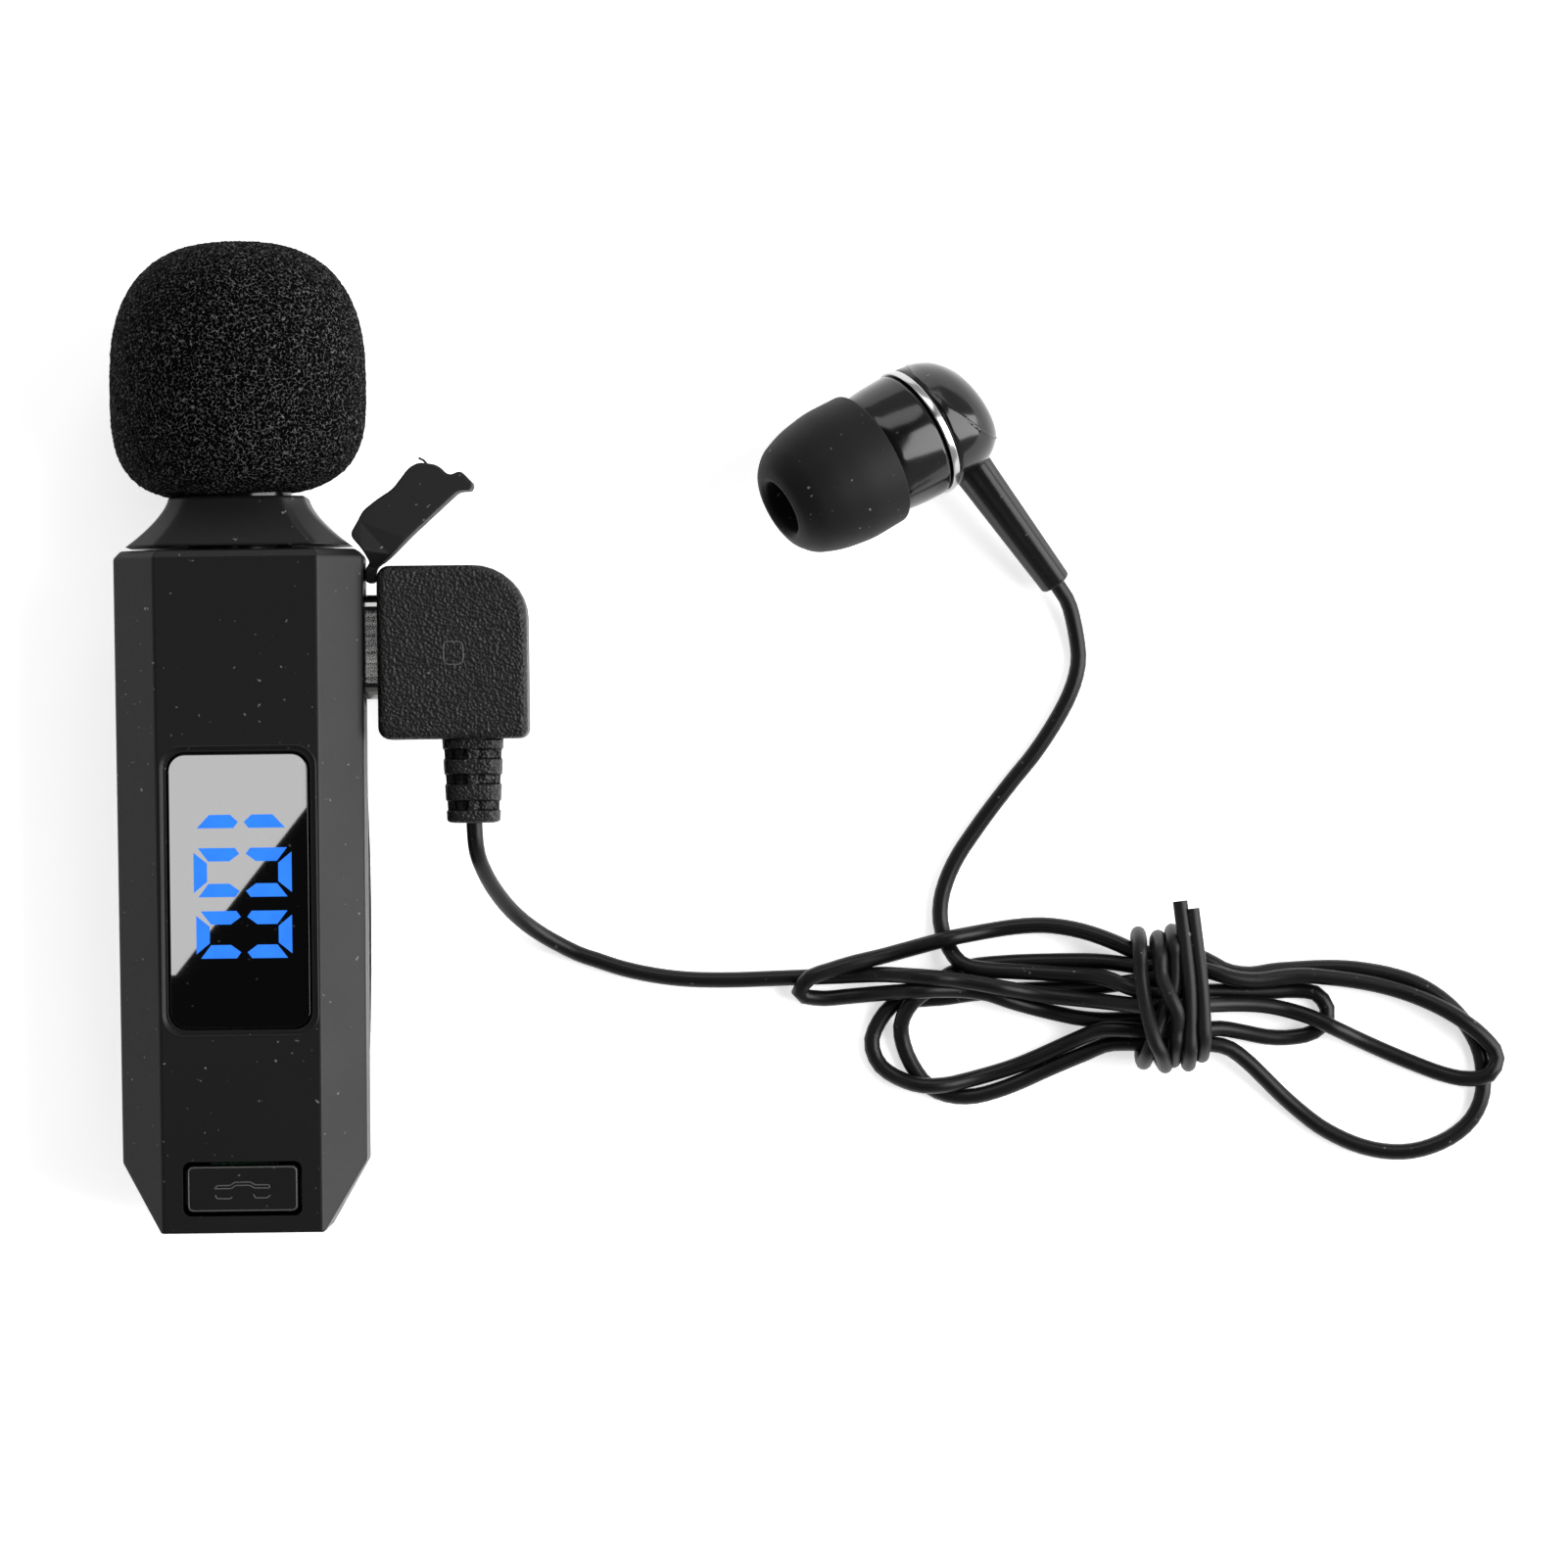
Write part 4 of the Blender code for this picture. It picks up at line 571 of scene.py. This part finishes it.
# Drawn and stamped metal: fine lines along one way, and gloss that varies in soft clouds.
drawn_metal = bpy.data.node_groups.new("drawn_metal", "ShaderNodeTree")
for name, kind, value in (("Color", "Color", (0.6, 0.6, 0.6, 1)), ("Roughness", "Float", 0.25),
                          ("Lines", "Vector", (1, 1, 1))):
    group_socket(drawn_metal, name, kind, value=value)
for name, kind in (("Color", "Color"), ("Roughness", "Float"), ("Height", "Float")):
    group_socket(drawn_metal, name, kind, inward=False)
given = drawn_metal.nodes.new("NodeGroupInput")
place = node(drawn_metal, "TexCoord")
drawn = node(drawn_metal, "VectorMath", [], [(0, place.outputs["Object"]), (1, given.outputs["Lines"])],
             operation="MULTIPLY")
lines = node(drawn_metal, "TexNoise", [("Scale", 900.0), ("Detail", 4.0)],
             [("Vector", drawn.outputs["Vector"])])
clouds = node(drawn_metal, "TexNoise", [("Scale", 220.0), ("Detail", 3.0)],
              [("Vector", place.outputs["Object"])])
line_shift = node(drawn_metal, "MapRange", [("To Min", -0.08), ("To Max", 0.12)],
                  [("Value", lines.outputs["Fac"])])
rough = node(drawn_metal, "Math", [], [(0, given.outputs["Roughness"]), (1, line_shift.outputs["Result"])],
             operation="ADD", use_clamp=True)
tint = node(drawn_metal, "MapRange", [("To Min", 0.82), ("To Max", 1.1)], [("Value", clouds.outputs["Fac"])])
shaded = node(drawn_metal, "Mix", [("Factor", 1.0)],
              [("A", given.outputs["Color"]), ("B", tint.outputs["Result"])],
              data_type="RGBA", blend_type="MULTIPLY")
put_out = drawn_metal.nodes.new("NodeGroupOutput")
drawn_metal.links.new(shaded.outputs["Result"], put_out.inputs["Color"])
drawn_metal.links.new(rough.outputs[0], put_out.inputs["Roughness"])
drawn_metal.links.new(lines.outputs["Fac"], put_out.inputs["Height"])


def metal(name, color, roughness, lines=(1, 1, 1), depth=0.002):
    made = bpy.data.materials.new(name)
    tree, shader = nodes_of(made)
    surface = node(tree, "Group", node_tree=drawn_metal)
    surface.inputs["Color"].default_value = (*color, 1)
    surface.inputs["Roughness"].default_value = roughness
    surface.inputs["Lines"].default_value = lines
    bump = node(tree, "Bump", [("Distance", depth * mm)], [("Height", surface.outputs["Height"])])
    shader.inputs["Metallic"].default_value = 1
    tree.links.new(surface.outputs["Color"], shader.inputs["Base Color"])
    tree.links.new(surface.outputs["Roughness"], shader.inputs["Roughness"])
    tree.links.new(bump.outputs["Normal"], shader.inputs["Normal"])
    return made


# This steel is painted much darker than the other steel parts, a painted shade for the dim grip and body it sits
# between and mirrors.
plug_steel = metal("plug_steel", (0.2, 0.2, 0.195), 0.09, lines=(0.2, 3, 3))
carry(["plug_shell"], plug_steel, 0.06 * mm)
insert_plastic = moulded("insert_plastic", 0.02, 0.45, grain=0.15, depth=0.004)
carry(["plug_contacts"], insert_plastic)

# ------------------------------------------------------------------ body shells
# Front and rear shells of injection-moulded black plastic with a fine spark-eroded grain, screwed
# together from the back. The screw bosses, port tube and board sit inside.
body_plastic = moulded("body_plastic", 0.004, 0.42, grain=0.16, depth=0.008, dust=0.45)
carry(["front_shell", "rear_shell"], body_plastic, 0.12 * mm)

# ------------------------------------------------------------------ head collar
# The moulded collar that closes the top of the body and flares from the head tube to the shoulder
# in a hollow curve, glued over the tube.
collar_low, collar_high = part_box("head_collar")
front_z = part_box("front_shell")[1].z
body_middle_z = (front_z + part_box("rear_shell")[0].z) / 2
tube_radius = 4.2 * mm
tube_clearance = 0.15 * mm
collar_top_width = 10.8 * mm
collar_top_depth = 10.2 * mm
collar_top_face = 7.8 * mm
collar_foot = collar_high.x
collar_foot_depth = collar_high.z - body_middle_z
collar_foot_face = collar_foot - 3.4 * mm + 0.9 * mm
collar_rings = []
for i in range(25):
    share = i / 24
    spread = share ** 1.55
    half = collar_top_width / 2 + (collar_foot - collar_top_width / 2) * spread
    deep = collar_top_depth / 2 + (collar_foot_depth - collar_top_depth / 2) * spread
    face = min(collar_top_face / 2 + (collar_foot_face - collar_top_face / 2) * spread, half - 0.6 * mm)
    y = collar_high.y - (collar_high.y - collar_low.y) * share
    facet = half - face
    corners = [(half, -deep + facet), (half, deep - facet), (face, deep), (-face, deep),
               (-half, deep - facet), (-half, -deep + facet), (-face, -deep), (face, -deep)]
    ring = []
    for k, corner in enumerate(corners):
        before, after = corners[k - 1], corners[(k + 1) % 8]
        for cx, cz in softened([before, corner, after], 0.5 * mm, 4)[1:-1]:
            ring.append(Vector((cx, y, body_middle_z + cz)))
    collar_rings.append(ring)
inner_rings = []
for y in (collar_low.y, collar_high.y):
    turned = []
    for spot in collar_rings[0]:
        angle = math.atan2(spot.z - body_middle_z, spot.x)
        turned.append(Vector((math.cos(angle) * (tube_radius + tube_clearance), y,
                              body_middle_z + math.sin(angle) * (tube_radius + tube_clearance))))
    inner_rings.append(turned)
lip_share = 0.985
top_lip = [[Vector((spot.x * lip_share, collar_high.y, body_middle_z + (spot.z - body_middle_z) * lip_share))
            for spot in collar_rings[0]]]
piece("flared_collar", *stacked(top_lip + collar_rings[1:] + inner_rings, closed=True), body_plastic, "mic",
      "body_plastic", ["head_collar"])

# ------------------------------------------------------------------ microphone head
# A glossy black tube that holds the capsule in a rubber boot behind a pierced steel grille. It is
# pushed up through the collar from inside, and its flange stops it.
gloss_black = moulded("gloss_black", 0.003, 0.14, grain=0.6, depth=0.002, dust=0.1, Specular_IOR_Level=0.34)
tube_low, tube_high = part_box("mic_head_tube")
head_place = Matrix.Translation((0, 0, body_middle_z)) @ Matrix.Rotation(math.radians(-90), 4, "X")
tube_bore = 3.4 * mm
wire_bore = 1.0 * mm
capsule_seat = tube_high.y - 5.0 * mm
flange_radius = tube_radius + 0.4 * mm
flange_top = tube_low.y + 0.8 * mm
head_profile = [(tube_bore, tube_high.y)] + softened([
    (tube_bore, tube_high.y), (tube_radius, tube_high.y), (tube_radius, flange_top), (flange_radius, flange_top),
    (flange_radius, tube_low.y), (wire_bore, tube_low.y), (wire_bore, capsule_seat), (tube_bore, capsule_seat)],
    0.2 * mm)[1:]
piece("head_tube", *lathed(head_profile, head_place, closed=True), gloss_black, "mic", "gloss_black",
      ["mic_head_tube"])
fine_steel = metal("steel", (0.55, 0.55, 0.54), 0.3)
carry(["mic_head_grille"], fine_steel)
black_rubber = moulded("black_rubber", 0.006, 0.62, grain=0.25, depth=0.01, dust=0.3)
carry(["capsule_boot"], black_rubber)
cell_metal = metal("cell_metal", (0.5, 0.5, 0.5), 0.38)
carry(["mic_capsule", "battery"], cell_metal)

# ------------------------------------------------------------------ foam windscreen
# A moulded ball of black open-cell foam, domed at the top and squarer at the foot, pushed over the
# head tube by hand and sitting a little askew. Its cut cells show as a net of fine struts.
foam_low, foam_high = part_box("foam_windscreen")
foam_half = (foam_high.x - foam_low.x) / 2
foam_waist = foam_low.y + 0.43 * (foam_high.y - foam_low.y)
foam_bore = tube_radius + 0.3 * mm
foam_bore_top = foam_high.y - 2.8 * mm
foam_cells = bpy.data.materials.new("foam")
tree, shader = nodes_of(foam_cells)
place = node(tree, "TexCoord")
wander = node(tree, "TexNoise", [("Scale", 2600.0), ("Detail", 1.0)], [("Vector", place.outputs["Object"])])
shifted = node(tree, "VectorMath", [("Scale", 0.00016)], [(0, wander.outputs["Color"])], operation="SCALE")
twisted = node(tree, "VectorMath", [], [(0, place.outputs["Object"]), (1, shifted.outputs["Vector"])],
               operation="ADD")
cells = node(tree, "TexVoronoi", [("Scale", 3100.0)], [("Vector", twisted.outputs["Vector"])],
             feature="DISTANCE_TO_EDGE")
struts = node(tree, "MapRange", [("From Min", 0.02), ("From Max", 0.13), ("To Min", 1.0), ("To Max", 0.0)],
              [("Value", cells.outputs["Distance"])], interpolation_type="SMOOTHSTEP")
# A noise picks the struts that are painted lighter, a painted highlight where light catches them.
catch = node(tree, "TexNoise", [("Scale", 4200.0), ("Detail", 1.0)], [("Vector", place.outputs["Object"])])
catch_light = node(tree, "MapRange", [("From Min", 0.42), ("From Max", 0.68)],
                   [("Value", catch.outputs["Fac"])])
lit_struts = node(tree, "Math", [], [(0, struts.outputs["Result"]), (1, catch_light.outputs["Result"])],
                  operation="MULTIPLY")
# The cell hollows get a near-black painted shade; the picked struts get the lighter strut colour.
foam_color = node(tree, "Mix", [("A", (0.0004, 0.0004, 0.0004, 1)), ("B", (0.11, 0.11, 0.11, 1))],
                  [("Factor", lit_struts.outputs[0])], data_type="RGBA")
foam_bump = node(tree, "Bump", [("Distance", 0.12 * mm)], [("Height", struts.outputs["Result"])])
tree.links.new(foam_color.outputs["Result"], shader.inputs["Base Color"])
tree.links.new(foam_bump.outputs["Normal"], shader.inputs["Normal"])
shader.inputs["Roughness"].default_value = 0.9
shader.inputs["Specular IOR Level"].default_value = 0.03

dome_corner = 2.6
foot_corner = 3.3
foam_profile = []
foot_angle = math.acos(((foam_bore + 0.3 * mm) / foam_half) ** (foot_corner / 2))
dome_reach = foam_high.y - foam_waist
foot_reach = (foam_waist - foam_low.y) / math.sin(foot_angle) ** (2 / foot_corner)
for i in range(181):
    angle = math.pi / 2 - (math.pi / 2 + foot_angle) * i / 180
    corner, reach = (dome_corner, dome_reach) if angle > 0 else (foot_corner, foot_reach)
    rise = math.copysign(abs(math.sin(angle)) ** (2 / corner), math.sin(angle)) * reach
    foam_profile.append((max(math.cos(angle), 0) ** (2 / corner) * foam_half, foam_waist + rise))
foam_profile += [(foam_bore, foam_low.y), (foam_bore, foam_bore_top), (0, foam_bore_top)]
foam_points, foam_faces = lathed(foam_profile, head_place, 260)
for spot in foam_points:
    below = min(max((foam_waist - spot.y) / (foam_waist - foam_low.y), 0), 1)
    spot.y += 0.05 * (spot.x - foam_half * 0.15) * below
foam_ball = piece("foam_ball", foam_points, foam_faces, foam_cells, "foam", "foam", ["foam_windscreen"])
rough_noise = bpy.data.textures.new("cut_cells", "CLOUDS")
rough_noise.noise_scale = 0.28 * mm
rough_noise.noise_depth = 1
frayed = foam_ball.modifiers.new("cut_cells", "DISPLACE")
frayed.texture = rough_noise
frayed.texture_coords = "LOCAL"
frayed.strength = 0.22 * mm
frayed.mid_level = 0.6

# ------------------------------------------------------------------ display
# A smoked window glued into a sunken, bevelled frame. Behind it a blue seven-segment display shows
# a three-figure number, turned to be read along the body.
window_low, window_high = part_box("display_window")
frame_rings = []
for width, height, radius, z in (
        (12.45, 23.0, 1.7, front_z - 0.18 * mm), (12.45, 23.0, 1.7, front_z + 0.02 * mm),
        (12.33, 22.88, 1.66, front_z + 0.05 * mm), (12.15, 22.7, 1.6, front_z + 0.02 * mm),
        (11.35, 21.95, 1.45, window_high.z - 0.08 * mm), (11.3, 21.9, 1.42, front_z - 0.5 * mm),
        (11.55, 22.1, 1.5, front_z - 0.5 * mm)):
    frame_rings.append([Vector((x, y, z)) for x, y in rounded_box(width * mm, height * mm, (radius * mm,) * 4)])
piece("display_frame", *stacked(frame_rings, closed=True), body_plastic, "mic", "body_plastic", soft=False)

smoked_glass = bpy.data.materials.new("smoked_window")
tree, shader = nodes_of(smoked_glass)
surface = node(tree, "Group", node_tree=moulded_surface)
surface.inputs["Color"].default_value = (0.0015, 0.0015, 0.0018, 1)
surface.inputs["Dust"].default_value = 0.12
tree.links.new(surface.outputs["Color"], shader.inputs["Base Color"])
shader.inputs["Roughness"].default_value = 0.012
window_outline = rounded_box(11.1 * mm, 21.7 * mm, (1.35 * mm,) * 4)
piece("smoked_window", *slab(window_outline, window_low.z, window_high.z, 0.12 * mm), smoked_glass, "mic",
      "display_glass", ["display_window"])

blue_light = bpy.data.materials.new("blue_segments")
tree, shader = nodes_of(blue_light)
place = node(tree, "TexCoord")
uneven = node(tree, "TexNoise", [("Scale", 700.0), ("Detail", 2.0)], [("Vector", place.outputs["Object"])])
glow = node(tree, "Mix", [("A", (0.006, 0.16, 0.95, 1)), ("B", (0.016, 0.26, 1.0, 1))],
            [("Factor", uneven.outputs["Fac"])], data_type="RGBA")
tree.links.new(glow.outputs["Result"], shader.inputs["Emission Color"])
shader.inputs["Emission Strength"].default_value = 1.0
shader.inputs["Base Color"].default_value = (0, 0.02, 0.1, 1)
bar = 1.06
digit_z = window_high.z + 0.004 * mm
segment_points, segment_faces = [], []


def segment(outline, middle, turn_x, turn_y):
    """One lit bar: its outline, mirrored into a quarter of the figure round `middle`."""
    base = len(segment_points)
    count = len(outline)
    for z in (digit_z - 0.02 * mm, digit_z + 0.012 * mm):
        segment_points.extend(((middle[0] + turn_x * x) * mm, (middle[1] + turn_y * y) * mm, z)
                              for x, y in outline)
    segment_faces.append(tuple(base + i for i in range(count)))
    segment_faces.append(tuple(base + count + i for i in range(count)))
    for i in range(count):
        j = (i + 1) % count
        segment_faces.append((base + i, base + j, base + count + j, base + count + i))


# Every bar leaves a fine dark gap to the next. The long bars point at the figure's middle.
for half, high, middle in ((3.87, 1.94, (0.3, 1.46)), (3.78, 1.87, (0.37, -3.45))):
    long_bar = [(half - 0.35, high), (half - bar - 0.1, high - bar), (1.05, high - bar),
                (0.25, high - bar * 0.45), (0.6, high)]
    end_bar = [(half, high - 0.35), (half - bar, high - bar - 0.15), (half - bar, bar + 0.15 - high),
               (half, 0.35 - high)]
    for turn_x in (1, -1):
        segment(end_bar, middle, turn_x, 1)
        for turn_y in (1, -1):
            segment(long_bar, middle, turn_x, turn_y)
one_bar = [(3.5, 0), (2.5, bar), (0.85, bar), (0.22, bar * 0.45), (0.6, 0)]
for turn_x in (1, -1):
    segment(one_bar, (0.2, 4.96), turn_x, 1)
piece("display_digits", segment_points, segment_faces, blue_light, "mic", "display_glass", soft=False)
carry(["display_module"], moulded("display_back", (0.02, 0.02, 0.022), 0.5, grain=0.1, depth=0.003))

# ------------------------------------------------------------------ button
# One wide moulded push button at the foot of the front face, on a dome switch. Its cap has a fine
# raised rim, and a raised outline of an ear-loop shape is moulded on it; both are painted lighter as a painted
# highlight.
button_low, button_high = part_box("button")
button_y = middle_of("button").y
button_plastic = moulded("button_plastic", 0.0035, 0.38, grain=0.16, depth=0.008, dust=0.35)
cap_outline = rounded_box(8.8 * mm, 3.7 * mm, (0.45 * mm,) * 4, (0, button_y))
piece("button_cap", *slab(cap_outline, button_low.z, button_high.z, 0.22 * mm, lower_edge=0.02 * mm),
      button_plastic, "button", "button_plastic", ["button"])
flange_outline = rounded_box(10.5 * mm, 2.8 * mm, (0.3 * mm,) * 4, (0, button_y))
piece("button_flange", *slab(flange_outline, button_low.z, button_low.z + 0.5 * mm, 0.05 * mm), button_plastic,
      "button", "button_plastic")
icon_z = button_high.z - 0.01 * mm
icon_lines = {
    "button_icon": [(-2.15, 0.03), (-2.05, 0.27), (-0.97, 0.28), (-0.64, 0.52), (0.62, 0.53), (1.0, 0.3),
                    (2.1, 0.3), (2.15, 0.05), (0.95, 0.05), (0.55, 0.28), (-0.58, 0.27), (-0.88, 0.03),
                    (-2.15, 0.03)],
    "button_icon_left": [(-2.15, -0.47), (-2.05, -0.75), (-0.95, -0.77), (-0.83, -0.6)],
    "button_icon_right": [(0.85, -0.45), (1.0, -0.73), (1.95, -0.73), (2.2, -0.5)],
    "button_rim": [(0, 1.7), (-4.25, 1.7), (-4.25, -1.7), (4.25, -1.7), (4.25, 1.7), (0, 1.7)],
}
for name, line in icon_lines.items():
    around = softened(line, 0.4 if name == "button_rim" else 0.12, 3)
    wire(name, [(x * mm, button_y + y * mm, icon_z) for x, y in around], 0.055 * mm, painted_highlight_ridge, "button",
         3)

# ------------------------------------------------------------------ dust cover
# The soft rubber cover of the side port, swung open beside the plug. It hangs on a thin strap that
# is moulded with it and anchored inside the shell, and a mould flash stands at its top.
cover_low, cover_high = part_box("dust_cover")
cover_turn = Vector((10.421, 25.19, 0)) * mm
cover_rubber = moulded("cover_rubber", 0.009, 0.6, grain=0.3, depth=0.012, dust=0.5)
cover_outline = [(0.42, -0.9), (0.42, 0.3), (1.33, 0.9), (3.2, 2.8), (5.67, 5.05), (7.1, 6.35), (8.1, 6.35),
                 (8.3, 6.9), (7.3, 7.95), (6.4, 7.5), (5.5, 8.4), (4.0, 8.6), (3.2, 8.2), (1.9, 6.5),
                 (0.7, 5.75), (-0.5, 4.8), (-0.85, 4.1), (-1.56, 2.9), (-0.6, 1.8), (0.0, 0.7), (-0.42, 0.25),
                 (-0.42, -0.9)]
cover_edge = softened(cover_outline + cover_outline[:2], 0.5, 4)[1:-1]
cover_thick = cover_high.z - cover_low.z
cover_points, cover_faces = slab([(cover_turn.x + x * mm, cover_turn.y + y * mm) for x, y in cover_edge],
                                 cover_low.z, cover_high.z, 0.16 * mm)
for spot in cover_points:
    strap = min(max((cover_turn.y + 1.6 * mm - spot.y) / (1.2 * mm), 0), 1)
    spot.z = body_middle_z + (spot.z - body_middle_z) * (1 - 0.54 * strap)
cover = piece("open_dust_cover", cover_points, cover_faces, cover_rubber, "dust_cover", "cover_rubber",
              ["dust_cover"])
cover_skin = bmesh.new()
cover_skin.from_mesh(cover.data)
wide_faces = [face for face in cover_skin.faces if len(face.verts) > 4]
bmesh.ops.triangulate(cover_skin, faces=wide_faces, ngon_method="BEAUTY")
cover_skin.to_mesh(cover.data)
cover_skin.free()
flash_line = [cover_turn + Vector((x, y, 0)) * mm + Vector((0, 0, body_middle_z + cover_thick * 0.45))
              for x, y in ((4.7, 8.4), (4.4, 8.75), (4.0, 8.95))]
wire("mould_flash", flash_line, 0.09 * mm, cover_rubber, "dust_cover", 3)
carry(["cover_anchor"], cover_rubber)

# ------------------------------------------------------------------ back clip
# A sprung clip of nickel-plated sheet steel on the back, which opens by pressing its short end. A
# rubber pad at the jaw grips the cloth.
clip_steel = metal("clip_steel", (0.58, 0.58, 0.57), 0.26, lines=(3, 0.2, 3))
carry(["clip_lever", "clip_bracket"], clip_steel, 0.1 * mm)
carry(["clip_pin", "clip_spring"], fine_steel)
carry(["clip_pad"], black_rubber, 0.1 * mm)

# ------------------------------------------------------------------ earphone
# A glossy black housing in two turned halves with a bright ring between them, a fine raised seam
# across the back half, a stem moulded on it, and a grey-black silicone tip over the nozzle.
ear_axis = Vector((-0.821874, -0.455572, 0.342020))
ear_middle = Vector((54.2, 36.0, 5.9)) * mm
ear_place = Matrix.Translation(ear_middle) @ ear_axis.to_track_quat("Z", "Y").to_matrix().to_4x4()
ring_radius = 5.4 * mm
ring_half = 0.3 * mm
ring_metal = metal("ring_metal", (0.42, 0.42, 0.42), 0.16, lines=(1, 1, 4), depth=0.0008)
ring_bore = 4.2 * mm
ring_profile = softened([(ring_bore, 0), (ring_bore, ring_half), (ring_radius, ring_half),
                         (ring_radius, -ring_half), (ring_bore, -ring_half),
                         (ring_bore, 0)], 0.12 * mm)[:-1]
piece("bright_ring", *lathed(ring_profile, ear_place, closed=True), ring_metal, "headset", "ring_metal",
      ["ear_ring"])


def turned_mm(points, rounding):
    return softened([(radius * mm, rise * mm) for radius, rise in points], rounding * mm)


front_profile = turned_mm([(1.3, 8.0), (1.3, 10.5), (2.1, 10.5), (2.1, 6.6), (3.2, 6.0), (4.5, 5.3),
                           (5.0, 4.4), (5.2, 2.8), (5.3, 0.36), (4.2, 0.36), (4.2, 2.4), (1.3, 4.2),
                           (1.3, 8.0)], 0.9)[:-1]
piece("front_housing", *lathed(front_profile, ear_place, 128, closed=True), gloss_black, "headset",
      "gloss_black", ["ear_front_housing"])
rear_profile = turned_mm([(0, -3.2), (4.15, -2.9), (4.15, -0.36), (5.3, -0.36), (5.1, -2.6), (4.7, -4.0),
                          (3.8, -5.2), (2.4, -5.9), (0, -6.1)], 0.8)
rear = piece("rear_housing", *lathed(rear_profile, ear_place, 128), gloss_black, "headset", "gloss_black",
             ["ear_rear_housing"])
seam_way = Vector((math.cos(math.radians(50)), math.sin(math.radians(50)), 0.15)).normalized()
rear_skin = bmesh.new()
rear_skin.from_mesh(rear.data)
seam_at = 3.6 * mm
seam_half = 0.14 * mm
for off in (-seam_half, 0, seam_half):
    everything = list(rear_skin.verts) + list(rear_skin.edges) + list(rear_skin.faces)
    bmesh.ops.bisect_plane(rear_skin, geom=everything, dist=1e-8, plane_no=seam_way,
                           plane_co=ear_middle + seam_way * (seam_at + off))
bmesh.ops.remove_doubles(rear_skin, verts=rear_skin.verts, dist=1e-7)
rear_skin.normal_update()
for spot in rear_skin.verts:
    past = (spot.co - ear_middle).dot(seam_way) - seam_at
    if abs(past) < 0.01 * mm:
        spot.co += spot.normal * 0.05 * mm
    elif past > 0:
        spot.co -= seam_way * past * 0.25
rear_skin.to_mesh(rear.data)
rear_skin.free()

tip_silicone = moulded("silicone", 0.0035, 0.58, grain=0.8, depth=0.004, dust=0.4, Specular_IOR_Level=0.15)
tip_profile = turned_mm([(2.25, 10.0), (2.25, 13.3), (2.6, 13.6), (3.6, 13.3), (4.6, 12.3), (5.3, 10.4),
                         (5.7, 7.8), (5.6, 4.7), (5.05, 4.7), (5.15, 7.8), (4.75, 10.2), (4.0, 11.7),
                         (2.8, 12.0), (2.8, 7.0), (2.25, 7.0), (2.25, 10.0)], 0.9)[:-1]
piece("silicone_tip", *lathed(tip_profile, ear_place, 128, closed=True), tip_silicone, "ear_tip", "silicone",
      ["ear_tip"])

stem_start = Vector((59.0, 32.5, 4.2)) * mm
stem_length = (stem_end * mm - stem_start).length
stem_turn = (stem_end * mm - stem_start).to_track_quat("Z", "Y").to_matrix().to_4x4()
stem_place = Matrix.Translation(stem_start) @ stem_turn
stem_plastic = moulded("stem_plastic", 0.005, 0.24, grain=0.4, depth=0.003, dust=0.2)


def stem_facets(rise, angle):
    """Six soft facets run the length of the stem."""
    return 0.07 * mm * math.cos(6 * angle) * min(max((stem_length - rise) / (0.6 * mm), 0), 1)


stem_profile = softened([(0, -1.6 * mm), (1.65 * mm, -1.6 * mm), (1.55 * mm, 0.5 * mm),
                         (1.25 * mm, stem_length), (0, stem_length)], 0.3 * mm)
piece("earphone_stem", *lathed(stem_profile, stem_place, 72, shift=stem_facets), stem_plastic, "headset",
      "gloss_black", ["ear_stem"])
carry(["nozzle_mesh", "ear_magnet"], fine_steel)
carry(["ear_driver"], cell_metal)

# ------------------------------------------------------------------ inside
# The circuit board with its switch, ceramic antenna and port, the plug's own small board, and the
# two self-tapping screws. None of them shows while the case is closed.
solder_mask = moulded("board", (0.01, 0.09, 0.035), 0.35, grain=0.5, depth=0.006, dust=0.5)
carry(["main_board", "plug_board"], solder_mask)
carry(["antenna"], moulded("ceramic", (0.6, 0.58, 0.52), 0.5, grain=0.1, depth=0.004))
carry(["button_switch", "usb_receptacle", "shell_screw_left", "shell_screw_right"], fine_steel)
carry(["receptacle_tongue"], insert_plastic)
